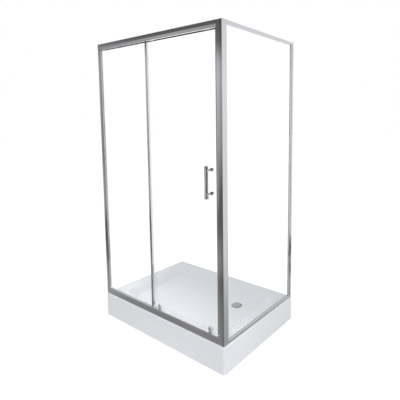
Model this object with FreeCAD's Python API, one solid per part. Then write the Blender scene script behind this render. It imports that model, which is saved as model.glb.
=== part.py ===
import FreeCAD, Part
import math
import os

# Corner shower enclosure: a sliding glass door, a fixed front pane and a fixed glass side on a high
# white tray. Millimetres, +Z up. The origin is the centre of the tray's footprint on the floor.
# +X runs along the long front to its open corner, +Y to the wall behind the tray. The other wall
# stands at the tray's left end, -X.

# ---- Whole enclosure ----
tray_length = 1200.0
tray_width = 800.0
tray_height = 180.0
frame_height = 1900.0
frame_inset = 5.0                # outer face of the frame, in from the tray's edge

# ---- Tray ----
acrylic = 5.0                    # thickness of the acrylic sheet
rim_width = 92.0                 # tray edge to the basin's upper outline
basin_depth = 42.0               # rim to the foot of the basin walls
basin_slope = 58.0               # how far the basin walls lean in, seen from above
basin_top_radius = 90.0
basin_foot_radius = 62.0
basin_edge_round = 9.0
floor_fall = 7.0                 # fall of the basin floor to the drain
floor_build_up = 12.0            # thickness of the reinforced floor at the foot of the walls
open_corner_radius = 17.0        # upright corner between the two skirts
wall_corner_radius = 3.0
lip_height = 14.0                # turned-down edge of the rim
rim_edge_round = 2.5
apron_thickness = 4.0
apron_seam = 0.4                 # hairline between the lip and the apron
apron_floor_gap = 3.0
board_thickness = 14.0
board_margin = 12.0              # board edge, in from the foot of the basin walls
board_hole_margin = 14.0         # round the trap

# ---- Drain ----
drain_from_end = 315.0           # drain's centre, in from the tray's open end
drain_from_wall = 282.0          # and from its edge at the wall behind
waste_bore = 22.0                # radius of the way down through the flange
flange_radius = 41.0
flange_thickness = 2.5
flange_neck_radius = 29.0
waste_hole_clearance = 1.0
drain_plateau = 98.0             # side of the level square around the drain
drain_cover_radius = 39.0
drain_cover_height = 4.0
drain_cover_lift = 2.0           # water gap under the cover
cover_rim = 0.8                  # straight rim under the dome
cover_leg_radius = 2.5
cover_leg_place = 8.0            # legs, out from the edge of the bore
cover_leg_gap = 0.3
insert_length = 62.0
insert_wall = 1.5
insert_rim = 3.5                 # how far the insert's rim stands out from its bore
insert_rim_height = 3.0
insert_drop = 3.0                # insert, below the flange's upper face
insert_play = 0.5
insert_lug = 2.0                 # height of the band that fits the bore tightly
flange_neck_length = 16.0        # below the gasket
gasket_thickness = 3.0
gasket_inset = 1.0               # edge of the gasket, in from the trap's
trap_radius = 44.0
trap_height = 90.0
trap_wall = 3.0
trap_lid = 10.0
outlet_bore = 20.2               # radius, takes a 40 mm waste pipe
outlet_wall = 3.2
outlet_length = 62.0
outlet_height = 58.0             # pipe centre above the floor
outlet_socket = 35.0             # depth of the socket in the outlet
outlet_step = 2.2                # step that the pipe stops at
outlet_collar = 3.5
outlet_collar_length = 24.0

# ---- Steel support under the tray ----
tube = 25.0
tube_wall = 2.0
tube_round = 2.0
long_tube_inset = 188.0          # tube centre, in from the tray's long edges
long_tube_end = 52.0             # tube end, in from the tray's end
cross_tube_inset = 160.0         # outer tubes, in from the tray's ends
cross_tube_end = 62.0
foot_inset = 100.0               # outer feet, in from the tray's long edges
stud_radius = 6.0
stud_end = 3.0                   # stud past its upper nut
stud_seat = 3.0                  # depth of the stud in its pad
nut_radius = 10.5
nut_height = 9.0
pad_radius = 26.0
pad_height = 9.0
pad_taper = 6.0
bracket_width = 30.0
bracket_thickness = 2.5
bracket_height = 34.0
bracket_drop = 6.0               # bracket below the cross tubes
bracket_gap = 2.0                # bracket web to the end of its long tube

# ---- Glass and gaskets ----
glass = 5.0
glazing_gap = 1.5                # gasket between glass and groove, each side
groove_depth = 14.0
edge_cushion = 2.0               # gasket under the glass edge
glass_setback = 7.5              # outer face of the frame to a fixed pane

# ---- Frame profiles ----
profile_wall = 1.6
outer_round = 1.0                # outer edges of the polished profiles
rail_depth = 44.0
header_height = 40.0
bottom_rail_height = 48.0
header_bevel_height = 17.0       # lower part of the header's outer face, which leans in
header_bevel = 3.5
rail_bevel_height = 6.0          # upper part of the bottom rail's outer face, which leans in
rail_bevel = 2.0
rail_lip_height = 16.0           # inner lip of the bottom rail
post_width = 42.0
side_rail_height = 20.0
side_rail_depth = 18.0
side_rail_line = 1.2             # fine line along the middle of a side rail's outer face
side_rail_line_depth = 0.6
wall_channel_width = 20.0
stile_fit = 0.3                  # stile inside a wall channel, each side
stile_hidden = 16.0              # part of a stile inside the wall channel
left_stile_visible = 13.0
left_post_depth = 22.0           # wall channel and stile at the left end, front to back
back_stile_visible = 12.0
end_cap = 2.0
centre_stile_x = -58.0
centre_stile_width = 19.0
centre_stile_proud = 3.5         # outer face of the frame to the centre stile
centre_stile_depth = 14.5
wall_hole_radius = 3.0
wall_hole_end = 120.0            # first wall hole, from either end of a channel
wall_hole_pitch = 500.0
screw_radius = 2.0
screw_head_radius = 3.8
screw_head_height = 2.2
screw_length = 9.0
screw_inset = 7.0                # from the wall channel's open edge
side_screw_heights = (200.0, 950.0, 1700.0)   # above the rim

# ---- Door ----
door_setback = 22.0              # outer face of the frame to the door glass
door_overlap = 4.0               # door glass past the centre stile
door_post_gap = 15.0             # door glass to the corner post when closed
door_dip = 10.0                  # door glass below the bottom rail's upper edge
door_rise = 14.0                 # door glass above the header's lower edge
seal_wrap = 9.0
seal_skin = 1.0
seal_nose = 4.0
magnet_nose = 7.0
magnet_gap = 0.5                 # between the two magnet strips when closed
magnet_slot = 4.0
end_gap = 5.0                    # open door to the left stile
lip_seal_gap = 0.6
lip_seal_thickness = 4.0

# ---- Door rollers ----
roller_inset_left = 58.0         # roller centre from the left edge of the door glass
roller_inset_right = 77.0
wheel_tread = 7.5                # radius at the bottom of the groove
wheel_flange = 9.5
wheel_width = 6.0
wheel_setback = 34.2             # outer face of the frame to the wheel's middle
rib_width = 3.0
rib_height = 20.0
track_bead = 4.0                 # height of the header's bead over its shelf
groove_play = 0.4                # rib in the groove, each side
roll_gap = 0.2
bearing_radius = 5.0
axle_radius = 2.5
axle_clearance = 0.05
axle_head_radius = 4.0
axle_head = 1.2
wheel_side_gap = 0.5
lift_gap = 4.0                   # wheel flange to the header's top wall
carrier_length = 50.0
carrier_plate = 3.2
clamp_leg = 1.8
clamp_reach = 11.0
stop_length = 16.0
stop_gap = 0.5
housing_width = 22.0
housing_depth = 19.0
housing_height = 28.0
housing_floor_gap = 5.0          # wheel flange to the housing
carrier_arm_width = 12.0
carrier_arm = 2.5
carrier_play = 0.3
carrier_shoulder_radius = 4.2
carrier_shoulder = 2.0
release_travel = 4.0             # lift that frees the wheel from the rib
stem_radius = 2.5
spring_wire = 0.9
spring_radius = 3.5              # middle of the wire
spring_turns = 5
spring_room = 17.0               # length at rest
housing_ceiling = 5.0
tab_width = 16.0
tab_depth = 14.0
tab_thickness = 4.0
tab_gap = 1.0
cap_width = 18.0
cap_height = 30.0
cap_plate = 2.3
cap_ring = 1.2                   # height of the ring round the cap's screw
cap_ring_radius = 7.0
cap_ring_hole = 4.0
cap_pitch_height = 14.0          # cap centre above the housing's lower edge

# ---- Handle ----
handle_inset = 48.0              # handle, in from the door glass's edge
handle_z = 1168.0
handle_length = 196.0
handle_end_radius = 14.0
handle_waist_radius = 12.0
handle_end_round = 2.5
handle_pitch = 142.0             # between the two fixings
handle_reach = 45.0              # glass to the bar's middle
handle_post_radius = 6.5
handle_washer_radius = 10.5
handle_washer = 3.0
handle_inner_washer = 1.5
handle_screw_radius = 3.0
handle_screw_reach = 20.0        # screw in its stand-off, from the glass
handle_hole_radius = 4.5
handle_cap_radius = 9.0
handle_cap = 7.0
handle_cap_round = 1.5

# ---- Small plastic pieces ----
foot_clip_length = 15.0
foot_clip_height = 13.0
infill = 3.0

# ---- Places that follow from the sizes above ----
drain_x = tray_length / 2 - drain_from_end
drain_y = tray_width / 2 - drain_from_wall
long_tube_y = tray_width / 2 - long_tube_inset
outer_cross_x = tray_length / 2 - cross_tube_inset
cross_tube_x = (-outer_cross_x, 0.0, outer_cross_x)
foot_y = tray_width / 2 - foot_inset
wall_x = -tray_length / 2
wall_y = tray_width / 2
front_y = -tray_width / 2 + frame_inset
side_x = tray_length / 2 - frame_inset
rim_z = tray_height
top_z = rim_z + frame_height
header_z = top_z - header_height
rail_z = rim_z + bottom_rail_height
post_x = side_x - post_width
post_y = front_y + rail_depth
left_post_y = front_y + left_post_depth
channel_x = wall_x + wall_channel_width
channel_y = wall_y - wall_channel_width
left_stile_x = channel_x + left_stile_visible
back_stile_y = channel_y - back_stile_visible
glass_y = front_y + glass_setback
glass_x = side_x - glass_setback
groove_front = glass_y - glazing_gap
groove_back = glass_y + glass + glazing_gap
side_groove_out = glass_x + glazing_gap
side_groove_in = glass_x - glass - glazing_gap
door_y = front_y + door_setback
door_back = door_y + glass
door_bottom = rail_z - door_dip
door_top = header_z + door_rise
wheel_y = front_y + wheel_setback
rib_top = rim_z + profile_wall + rib_height
lower_wheel_z = rib_top + roll_gap + wheel_tread
upper_wheel_z = top_z - profile_wall - lift_gap - wheel_flange
shelf_top = upper_wheel_z - wheel_tread - roll_gap - track_bead
centre_left = centre_stile_x - centre_stile_width / 2
centre_right = centre_stile_x + centre_stile_width / 2
door_left = centre_left - door_overlap
door_right = post_x - door_post_gap
handle_x = door_right - handle_inset
roller_x = {"left": door_left + roller_inset_left, "right": door_right - roller_inset_right}
door_travel = door_left - seal_nose - left_stile_x - end_gap
basin_floor_z = rim_z - basin_depth
drain_floor_z = basin_floor_z - floor_fall
floor_under_z = basin_floor_z - floor_build_up
board_under_z = floor_under_z - board_thickness
cross_top = board_under_z - tube
cross_under = cross_top - tube


# ---- Helpers ----
def vec(x, y, z):
    return FreeCAD.Vector(x, y, z)


def block(x0, x1, y0, y1, z0, z1):
    return Part.makeBox(x1 - x0, y1 - y0, z1 - z0, vec(x0, y0, z0))


def rod(radius, start, end):
    """A round bar from one point to another."""
    line = vec(*end) - vec(*start)
    return Part.makeCylinder(radius, line.Length, vec(*start), line)


def ring(outer, inner, start, end):
    """A round sleeve from one point to another."""
    return rod(outer, start, end).cut(rod(inner, start, end))


def join(first, *others):
    return first.multiFuse(list(others)).removeSplitter()


def cut(first, *others):
    return first.cut(list(others)) if others else first


def group(solids):
    """Separate solids that share one file."""
    return Part.makeCompound(solids)


def straight_edges(shape, axis, **at):
    """Edges along one axis whose other coordinates are the ones given."""
    found = []
    for edge in shape.Edges:
        box = edge.BoundBox
        low = {"x": box.XMin, "y": box.YMin, "z": box.ZMin}
        high = {"x": box.XMax, "y": box.YMax, "z": box.ZMax}
        size = {name: high[name] - low[name] for name in low}
        others = [size[name] for name in size if name != axis]
        if size[axis] > 1 and max(others) < 0.01 and all(abs(low[n] - v) < 0.01 for n, v in at.items()):
            found.append(edge)
    return found


def soften(shape, radius, axis, *places):
    """Rounds the edges along an axis at each place."""
    edges = [edge for place in places for edge in straight_edges(shape, axis, **place)]
    return shape.makeFillet(radius, edges)


def rounded_outline(x0, x1, y0, y1, z, radii):
    """A level rectangle whose corners are arcs. Radii start at the corner (x1, y0), then turn left."""
    corners = [(x1, y0, -1, 1), (x1, y1, -1, -1), (x0, y1, 1, -1), (x0, y0, 1, 1)]
    arcs = []
    for (x, y, side_x_sign, side_y_sign), radius in zip(corners, radii):
        centre = vec(x + side_x_sign * radius, y + side_y_sign * radius, z)
        along_y = centre - vec(0, side_y_sign * radius, 0)
        along_x = centre - vec(side_x_sign * radius, 0, 0)
        start, end = (along_y, along_x) if side_x_sign * side_y_sign < 0 else (along_x, along_y)
        share = radius / math.sqrt(2)
        middle = centre - vec(side_x_sign * share, side_y_sign * share, 0)
        arcs.append((start, middle, end))
    edges = []
    for index, (start, middle, end) in enumerate(arcs):
        edges.append(Part.Arc(start, middle, end).toShape())
        following = arcs[(index + 1) % len(arcs)][0]
        edges.append(Part.LineSegment(end, following).toShape())
    return Part.Wire(edges)


def tray_outline(inset, z, radii):
    return rounded_outline(-tray_length / 2 + inset, tray_length / 2 - inset,
                           -tray_width / 2 + inset, tray_width / 2 - inset, z, radii)


def prism(wire, height):
    return Part.Face(wire).extrude(vec(0, 0, height))


def loft(*wires):
    return Part.makeLoft(list(wires), True, True)


def write(name, shape):
    assert shape.isValid(), name
    shape.exportStep("parts/" + name + ".step")


# ---- Tray ----
def tray_corners(inset):
    """Corner radii of the tray's outline, drawn in by an inset."""
    open_corner = max(open_corner_radius - inset, 1.0)
    at_wall = max(wall_corner_radius - inset, 0.5)
    return (open_corner, at_wall, at_wall, at_wall)


def tray_shell():
    rim = prism(tray_outline(0, rim_z - lip_height, tray_corners(0)), lip_height)
    edge_loop = [edge for edge in rim.Edges if edge.BoundBox.ZMin > rim_z - 0.01]
    rim = rim.makeFillet(rim_edge_round, edge_loop)
    hollow = prism(tray_outline(acrylic, rim_z - lip_height, tray_corners(acrylic)), lip_height - acrylic)
    top_radii = (basin_top_radius,) * 4
    foot_radii = (basin_foot_radius,) * 4
    outer = loft(tray_outline(rim_width - acrylic, rim_z - acrylic, top_radii),
                 tray_outline(rim_width + basin_slope - acrylic, floor_under_z, foot_radii))
    foot = tray_outline(rim_width + basin_slope, basin_floor_z, foot_radii)
    inner = loft(tray_outline(rim_width, rim_z, top_radii), foot)
    half = drain_plateau / 2
    plateau = rounded_outline(drain_x - half, drain_x + half, drain_y - half, drain_y + half,
                              drain_floor_z, (half - 2,) * 4)
    fall = loft(foot, plateau)
    seat = rod(flange_radius + waste_hole_clearance, (drain_x, drain_y, drain_floor_z - flange_thickness),
               (drain_x, drain_y, basin_floor_z))
    hole = rod(flange_neck_radius + waste_hole_clearance, (drain_x, drain_y, floor_under_z - 1),
               (drain_x, drain_y, basin_floor_z))
    shell = cut(join(rim.cut(hollow), outer), inner, fall, seat, hole)
    upper_loop = [edge for edge in shell.Edges
                  if edge.BoundBox.ZMin > rim_z - 0.01 and
                  max(abs(edge.BoundBox.XMin), abs(edge.BoundBox.XMax)) < tray_length / 2 - rim_width + 1 and
                  max(abs(edge.BoundBox.YMin), abs(edge.BoundBox.YMax)) < tray_width / 2 - rim_width + 1]
    return shell.makeFillet(basin_edge_round, upper_loop)


def apron_panel():
    """One L-shaped skirt: front and open side, with the upright corner rounded as the tray's."""
    low, high = apron_floor_gap, rim_z - lip_height - apron_seam
    outside = prism(tray_outline(0, low, tray_corners(0)), high - low)
    inside = prism(tray_outline(apron_thickness, low, tray_corners(apron_thickness)), high - low)
    kept = join(block(wall_x, tray_length / 2, -wall_y, -wall_y + apron_thickness, low, high),
                block(tray_length / 2 - open_corner_radius, tray_length / 2, -wall_y, wall_y, low, high),
                block(tray_length / 2 - open_corner_radius, tray_length / 2, -wall_y,
                      -wall_y + open_corner_radius, low, high))
    end = block(wall_x - 1, tray_length / 2 - open_corner_radius, -wall_y + apron_thickness,
                wall_y + 1, low - 1, high + 1)
    back = block(wall_x - 1, tray_length / 2 - apron_thickness, wall_y - apron_thickness - 1,
                 wall_y + 1, low - 1, high + 1)
    return outside.cut(inside).common(kept).cut([end, back])


def base_board():
    inset = rim_width + basin_slope + board_margin
    radius = basin_foot_radius - board_margin
    board = prism(tray_outline(inset, board_under_z, (radius,) * 4), board_thickness)
    return board.cut(rod(trap_radius + board_hole_margin, (drain_x, drain_y, board_under_z - 1),
                         (drain_x, drain_y, floor_under_z + 1)))


# ---- Steel support ----
def square_tube(length, along, start):
    """A square steel tube with rounded edges, from its start point along x or y."""
    x, y, z = start
    if along == "x":
        outer = block(x, x + length, y - tube / 2, y + tube / 2, z, z + tube)
        inner = block(x - 1, x + length + 1, y - tube / 2 + tube_wall, y + tube / 2 - tube_wall,
                      z + tube_wall, z + tube - tube_wall)
    else:
        outer = block(x - tube / 2, x + tube / 2, y, y + length, z, z + tube)
        inner = block(x - tube / 2 + tube_wall, x + tube / 2 - tube_wall, y - 1, y + length + 1,
                      z + tube_wall, z + tube - tube_wall)
    edges = [edge for edge in outer.Edges if edge.Length > length - 0.01]
    return outer.makeFillet(tube_round, edges).cut(inner)


def long_tubes():
    length = tray_length - 2 * long_tube_end
    return [square_tube(length, "x", (-length / 2, side * long_tube_y, cross_top)) for side in (-1, 1)]


def foot_places():
    outer = [(x, side * foot_y) for x in cross_tube_x for side in (-1, 1)]
    return outer + [(0.0, 0.0)]


def cross_tubes():
    length = tray_width - 2 * cross_tube_end
    tubes = []
    for x in cross_tube_x:
        bar = square_tube(length, "y", (x, -length / 2, cross_under))
        holes = [rod(stud_radius, (x, y, cross_under - 1), (x, y, cross_top + 1))
                 for foot_x, y in foot_places() if foot_x == x]
        tubes.append(bar.cut(holes))
    return tubes


def foot_studs():
    """Threaded studs, flat below the board where one stands under it."""
    low, high = pad_height - stud_seat, cross_top + nut_height + stud_end
    return [rod(stud_radius, (x, y, low), (x, y, high)) for x, y in foot_places()]


def hexagon(across, centre, z0, z1):
    corner = across / math.cos(math.pi / 6)
    points = [vec(centre[0] + corner * math.cos(math.radians(60 * i)),
                  centre[1] + corner * math.sin(math.radians(60 * i)), z0) for i in range(7)]
    return Part.Face(Part.makePolygon(points)).extrude(vec(0, 0, z1 - z0))


def foot_nuts():
    nuts = []
    for x, y in foot_places():
        for low in (cross_under - nut_height, cross_top):
            nut = hexagon(nut_radius * math.cos(math.pi / 6), (x, y), low, low + nut_height)
            nuts.append(nut.cut(rod(stud_radius, (x, y, low - 1), (x, y, low + nut_height + 1))))
    return nuts


def foot_pads():
    pads = []
    for x, y in foot_places():
        pad = Part.makeCone(pad_radius, pad_radius - pad_taper, pad_height, vec(x, y, 0))
        pads.append(pad.cut(rod(stud_radius, (x, y, pad_height - stud_seat), (x, y, pad_height + 1))))
    return pads


def apron_brackets():
    """Steel angles from the support tubes to the inner faces of the apron."""
    low = cross_under - bracket_drop
    high = low + bracket_height
    pieces = []
    inside_y = -tray_width / 2 + apron_thickness
    tube_end_y = -tray_width / 2 + cross_tube_end
    for x in cross_tube_x:
        left, right = x - tube / 2 - bracket_thickness, x - tube / 2
        web = block(left, right, inside_y, tube_end_y + bracket_width, low, high)
        flange = block(left, left + bracket_width, inside_y, inside_y + bracket_thickness, low, high)
        pieces.append(join(web, flange))
    inside_x = tray_length / 2 - apron_thickness
    tube_end_x = tray_length / 2 - long_tube_end
    for side in (-1, 1):
        y = side * long_tube_y + tube / 2
        web = block(tube_end_x - bracket_width, inside_x, y, y + bracket_thickness, low, high)
        web = join(web, block(tube_end_x - bracket_width, tube_end_x - bracket_gap, y, y + bracket_thickness,
                              low, cross_top + tube - tube_round))
        flange = block(inside_x - bracket_thickness, inside_x, y + bracket_thickness - bracket_width,
                       y + bracket_thickness, low, high)
        pieces.append(join(web, flange))
    return pieces


# ---- Drain ----
def drain_flange():
    seat_z = drain_floor_z - flange_thickness
    low = floor_under_z - gasket_thickness - flange_neck_length
    disc = rod(flange_radius, (drain_x, drain_y, seat_z), (drain_x, drain_y, drain_floor_z))
    neck = rod(flange_neck_radius, (drain_x, drain_y, low), (drain_x, drain_y, seat_z + 0.5))
    bore = rod(waste_bore, (drain_x, drain_y, low - 1), (drain_x, drain_y, drain_floor_z + 1))
    return join(disc, neck).cut(bore)


def drain_gasket():
    return ring(trap_radius - gasket_inset, flange_neck_radius, (drain_x, drain_y, floor_under_z - gasket_thickness),
                (drain_x, drain_y, floor_under_z))


def trap_body():
    """Trap cup with a pipe socket on its side, towards the wall behind."""
    high = floor_under_z - gasket_thickness
    low = high - trap_height
    end = drain_y + trap_radius + outlet_length
    outlet_radius = outlet_bore + outlet_wall
    cup = rod(trap_radius, (drain_x, drain_y, low), (drain_x, drain_y, high))
    pipe = rod(outlet_radius, (drain_x, drain_y, outlet_height), (drain_x, end, outlet_height))
    collar = rod(outlet_radius + outlet_collar, (drain_x, end - outlet_collar_length, outlet_height),
                 (drain_x, end, outlet_height))
    room = rod(trap_radius - trap_wall, (drain_x, drain_y, low + trap_wall), (drain_x, drain_y, high - trap_lid))
    neck = rod(flange_neck_radius, (drain_x, drain_y, high - flange_neck_length - 1), (drain_x, drain_y, high + 1))
    way_out = rod(outlet_bore - outlet_step, (drain_x, drain_y, outlet_height), (drain_x, end + 1, outlet_height))
    socket = rod(outlet_bore, (drain_x, end - outlet_socket, outlet_height), (drain_x, end + 1, outlet_height))
    return cut(join(cup, pipe, collar), room, neck, way_out, socket)


def trap_insert():
    """Removable cup that hangs in the flange and keeps the water seal."""
    high = drain_floor_z - insert_drop
    low = high - insert_length
    rim_radius = waste_bore - insert_play
    bore = rim_radius - insert_rim
    rim = ring(rim_radius, bore, (drain_x, drain_y, high - insert_rim_height), (drain_x, drain_y, high))
    cup = ring(bore + insert_wall, bore, (drain_x, drain_y, low), (drain_x, drain_y, high))
    lug = ring(waste_bore, bore + insert_wall, (drain_x, drain_y, high - insert_lug), (drain_x, drain_y, high))
    return join(rim, cup, lug)


def drain_cover():
    """Domed chrome cover on three short legs; it lifts straight off."""
    low = drain_floor_z + drain_cover_lift
    rise = drain_cover_height
    sphere_radius = (drain_cover_radius ** 2 + rise ** 2) / (2 * rise)
    ball = Part.makeSphere(sphere_radius, vec(drain_x, drain_y, low + rise - sphere_radius))
    disc = rod(drain_cover_radius, (drain_x, drain_y, low - 1), (drain_x, drain_y, low + rise + 1))
    dome = ball.common(disc.cut(block(drain_x - drain_cover_radius, drain_x + drain_cover_radius,
                                      drain_y - drain_cover_radius, drain_y + drain_cover_radius, low - 2, low)))
    rim = rod(drain_cover_radius, (drain_x, drain_y, low - cover_rim), (drain_x, drain_y, low))
    legs = []
    for turn in range(3):
        angle = math.radians(90 + 120 * turn)
        x = drain_x + (waste_bore + cover_leg_place) * math.cos(angle)
        y = drain_y + (waste_bore + cover_leg_place) * math.sin(angle)
        legs.append(rod(cover_leg_radius, (x, y, drain_floor_z + cover_leg_gap), (x, y, low)))
    return join(dome, rim, *legs)


# ---- Frame ----
def profile_along_x(x0, x1, walls):
    """An extrusion along X, built from its walls as (y0, y1, z0, z1)."""
    return join(*[block(x0, x1, *wall) for wall in walls])


def wall_holes():
    low, high = rim_z + wall_hole_end, top_z - wall_hole_end
    return (low, low + wall_hole_pitch, high - wall_hole_pitch, high)


def side_screw_levels():
    return [rim_z + height for height in side_screw_heights]


def left_wall_channel():
    high = top_z - end_cap
    back = block(wall_x, wall_x + profile_wall, front_y, left_post_y, rim_z, high)
    outer = block(wall_x, channel_x, front_y, front_y + profile_wall, rim_z, high)
    inner = block(wall_x, channel_x, left_post_y - profile_wall, left_post_y, rim_z, high)
    channel = join(back, outer, inner)
    channel = soften(channel, outer_round, "z", {"x": channel_x, "y": front_y}, {"x": wall_x, "y": front_y})
    middle = (front_y + left_post_y) / 2
    holes = [rod(wall_hole_radius, (wall_x - 1, middle, z), (wall_x + 5, middle, z)) for z in wall_holes()]
    screws = [left_screw(z) for z in side_screw_levels()]
    return cut(channel, *holes, *screws)


def back_wall_channel():
    high = top_z - end_cap
    inner_x = side_x - side_rail_depth
    back = block(inner_x, side_x, wall_y - profile_wall, wall_y, rim_z, high)
    outer = block(side_x - profile_wall, side_x, channel_y, wall_y, rim_z, high)
    inner = block(inner_x, inner_x + profile_wall, channel_y, wall_y, rim_z, high)
    channel = join(back, outer, inner)
    channel = soften(channel, outer_round, "z", {"x": side_x, "y": channel_y}, {"x": side_x, "y": wall_y})
    middle = side_x - side_rail_depth / 2
    holes = [rod(wall_hole_radius, (middle, wall_y - 5, z), (middle, wall_y + 1, z)) for z in wall_holes()]
    screws = [back_screw(z) for z in side_screw_levels()]
    return cut(channel, *holes, *screws)


def screw(head_start, direction):
    """A pan-head screw whose head starts at a point and whose shank runs along a direction."""
    start = vec(*head_start)
    way = vec(*direction)
    neck = start + way * screw_head_height
    end = neck + way * screw_length
    head = rod(screw_head_radius, tuple(start), tuple(neck))
    return join(head, rod(screw_radius, tuple(neck), tuple(end)))


def left_screw(z):
    x = wall_x + wall_channel_width - screw_inset
    return screw((x, left_post_y + screw_head_height, z), (0, -1, 0))


def back_screw(z):
    y = wall_y - wall_channel_width + screw_inset
    return screw((side_x - side_rail_depth - screw_head_height, y, z), (1, 0, 0))


def channel_screws():
    return [make(z) for z in side_screw_levels() for make in (left_screw, back_screw)]


def left_stile():
    """Slides in the left wall channel, notched round the rails, with a groove for the fixed pane."""
    high = top_z - end_cap
    x0, x1 = channel_x - stile_hidden, left_stile_x
    y0, y1 = front_y + profile_wall + stile_fit, left_post_y - profile_wall - stile_fit
    body = block(x0, x1, y0, y1, rim_z, high)
    body = soften(body, outer_round, "z", {"x": x1, "y": y0}, {"x": x1, "y": y1})
    room = block(x0 + profile_wall, x1 - groove_depth - edge_cushion - profile_wall,
                 y0 + profile_wall, y1 - profile_wall, rim_z - 1, high + 1)
    inner_room = block(x1 - groove_depth - edge_cushion - profile_wall, x1 - profile_wall,
                       groove_back + profile_wall, y1 - profile_wall, rim_z - 1, high + 1)
    groove = block(x1 - groove_depth, x1 + 1, groove_front, groove_back, rim_z - 1, high + 1)
    header_notch = block(channel_x, x1 + 1, front_y, post_y, header_z, top_z + 1)
    rail_notch = block(channel_x, x1 + 1, front_y, post_y, rim_z - 1, rail_z)
    screws = [left_screw(z) for z in side_screw_levels()]
    return cut(body, room, inner_room, groove, header_notch, rail_notch, *screws)


def back_stile():
    """Slides in the back wall channel, notched round the side rails, with a groove for the side pane."""
    high = top_z - end_cap
    y0, y1 = back_stile_y, channel_y + stile_hidden
    x0 = side_x - side_rail_depth + profile_wall + stile_fit
    x1 = side_x - profile_wall - stile_fit
    body = block(x0, x1, y0, y1, rim_z, high)
    body = soften(body, outer_round, "z", {"x": x1, "y": y0}, {"x": x0, "y": y0})
    room = block(x0 + profile_wall, x1 - profile_wall, y0 + groove_depth + edge_cushion + profile_wall,
                 y1 - profile_wall, rim_z - 1, high + 1)
    groove = block(side_groove_in, side_groove_out, y0 - 1, y0 + groove_depth, rim_z - 1, high + 1)
    top_notch = block(side_x - side_rail_depth, side_x, y0 - 1, channel_y, top_z - side_rail_height,
                      top_z + 1)
    low_notch = block(side_x - side_rail_depth, side_x, y0 - 1, channel_y, rim_z - 1,
                      rim_z + side_rail_height)
    screws = [back_screw(z) for z in side_screw_levels()]
    return cut(body, room, groove, top_notch, low_notch, *screws)


def corner_post():
    """Hollow corner post: glazing groove towards the side pane, slot for the magnet strip."""
    high = top_z - end_cap
    body = block(post_x, side_x, front_y, post_y, rim_z, high)
    body = soften(body, outer_round, "z", {"x": side_x, "y": front_y}, {"x": post_x, "y": front_y},
                  {"x": side_x, "y": post_y}, {"x": post_x, "y": post_y})
    groove = block(side_groove_in, side_groove_out, post_y - groove_depth, post_y + 1, rim_z - 1, high + 1)
    slot = block(post_x - 1, post_x + magnet_slot, door_y - 2, door_back + 2, rim_z - 1, high + 1)
    front_room = block(post_x + profile_wall, side_x - profile_wall, front_y + profile_wall,
                       door_y - 2 - profile_wall, rim_z - 1, high + 1)
    inner_room = block(post_x + magnet_slot + profile_wall, side_groove_in - profile_wall,
                       door_y - 2, post_y - profile_wall, rim_z - 1, high + 1)
    return cut(body, groove, slot, front_room, inner_room)


def bevelled_wall(x0, x1, z_square, z_bevel, z_end, lean):
    """An outer wall along X that stands upright from z_square to z_bevel, then leans in up to z_end."""
    points = [(front_y, z_square), (front_y, z_bevel), (front_y + lean, z_end),
              (front_y + lean + profile_wall, z_end), (front_y + profile_wall, z_bevel),
              (front_y + profile_wall, z_square), (front_y, z_square)]
    outline = Part.makePolygon([vec(x0, y, z) for y, z in points])
    return Part.Face(outline).extrude(vec(x1 - x0, 0, 0))


def header_rail():
    """Header with the fixed pane's groove below, and a shelf with a bead that carries the rollers."""
    walls = [
        (front_y, post_y, top_z - profile_wall, top_z),                                      # top
        (post_y - profile_wall, post_y, header_z, top_z),                                    # inner face
        (front_y + header_bevel, groove_front, header_z, header_z + profile_wall),           # lower edge
        (groove_front - profile_wall, groove_front, header_z, header_z + groove_depth + profile_wall),
        (groove_back, groove_back + profile_wall, header_z, top_z),                          # groove's back
        (groove_front - profile_wall, groove_back, header_z + groove_depth,
         header_z + groove_depth + profile_wall),                                            # groove's roof
        (wheel_y - wheel_width / 2 + 0.3, post_y, shelf_top - profile_wall, shelf_top),      # shelf
        (wheel_y - rib_width / 2, wheel_y + rib_width / 2, shelf_top - profile_wall, shelf_top + track_bead),
    ]
    outer = bevelled_wall(channel_x, post_x, top_z, header_z + header_bevel_height, header_z, header_bevel)
    rail = join(outer, profile_along_x(channel_x, post_x, walls))
    return soften(rail, outer_round, "x", {"y": front_y, "z": top_z}, {"y": post_y, "z": top_z})


def bottom_rail():
    """Bottom rail with the fixed pane's groove above, and a rib that guides the lower rollers."""
    groove_floor = rail_z - groove_depth
    walls = [
        (front_y, post_y, rim_z, rim_z + profile_wall),                                      # base
        (front_y + rail_bevel, groove_front, rail_z - profile_wall, rail_z),                 # upper edge
        (groove_front - profile_wall, groove_front, groove_floor - profile_wall, rail_z),
        (groove_back, groove_back + profile_wall, rim_z, rail_z),                            # groove's back
        (groove_front - profile_wall, groove_back, groove_floor - profile_wall, groove_floor),
        (post_y - profile_wall, post_y, rim_z, rim_z + rail_lip_height),                     # inner lip
        (wheel_y - rib_width / 2, wheel_y + rib_width / 2, rim_z, rib_top),                  # guide rib
    ]
    outer = bevelled_wall(channel_x, post_x, rim_z, rail_z - rail_bevel_height, rail_z, rail_bevel)
    return join(outer, profile_along_x(channel_x, post_x, walls))


def side_rail(low, groove_low, groove_high, outer_edges):
    """A side rail with its glazing groove and a fine line along its outer face."""
    rail = block(side_x - side_rail_depth, side_x, post_y, channel_y, low, low + side_rail_height)
    rail = soften(rail, outer_round, "y", *outer_edges)
    groove = block(side_groove_in, side_groove_out, post_y - 1, channel_y + 1, groove_low, groove_high)
    middle = low + side_rail_height / 2
    line = block(side_x - side_rail_line_depth, side_x + 1, post_y - 1, channel_y + 1,
                 middle - side_rail_line / 2, middle + side_rail_line / 2)
    return cut(rail, groove, line)


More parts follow.
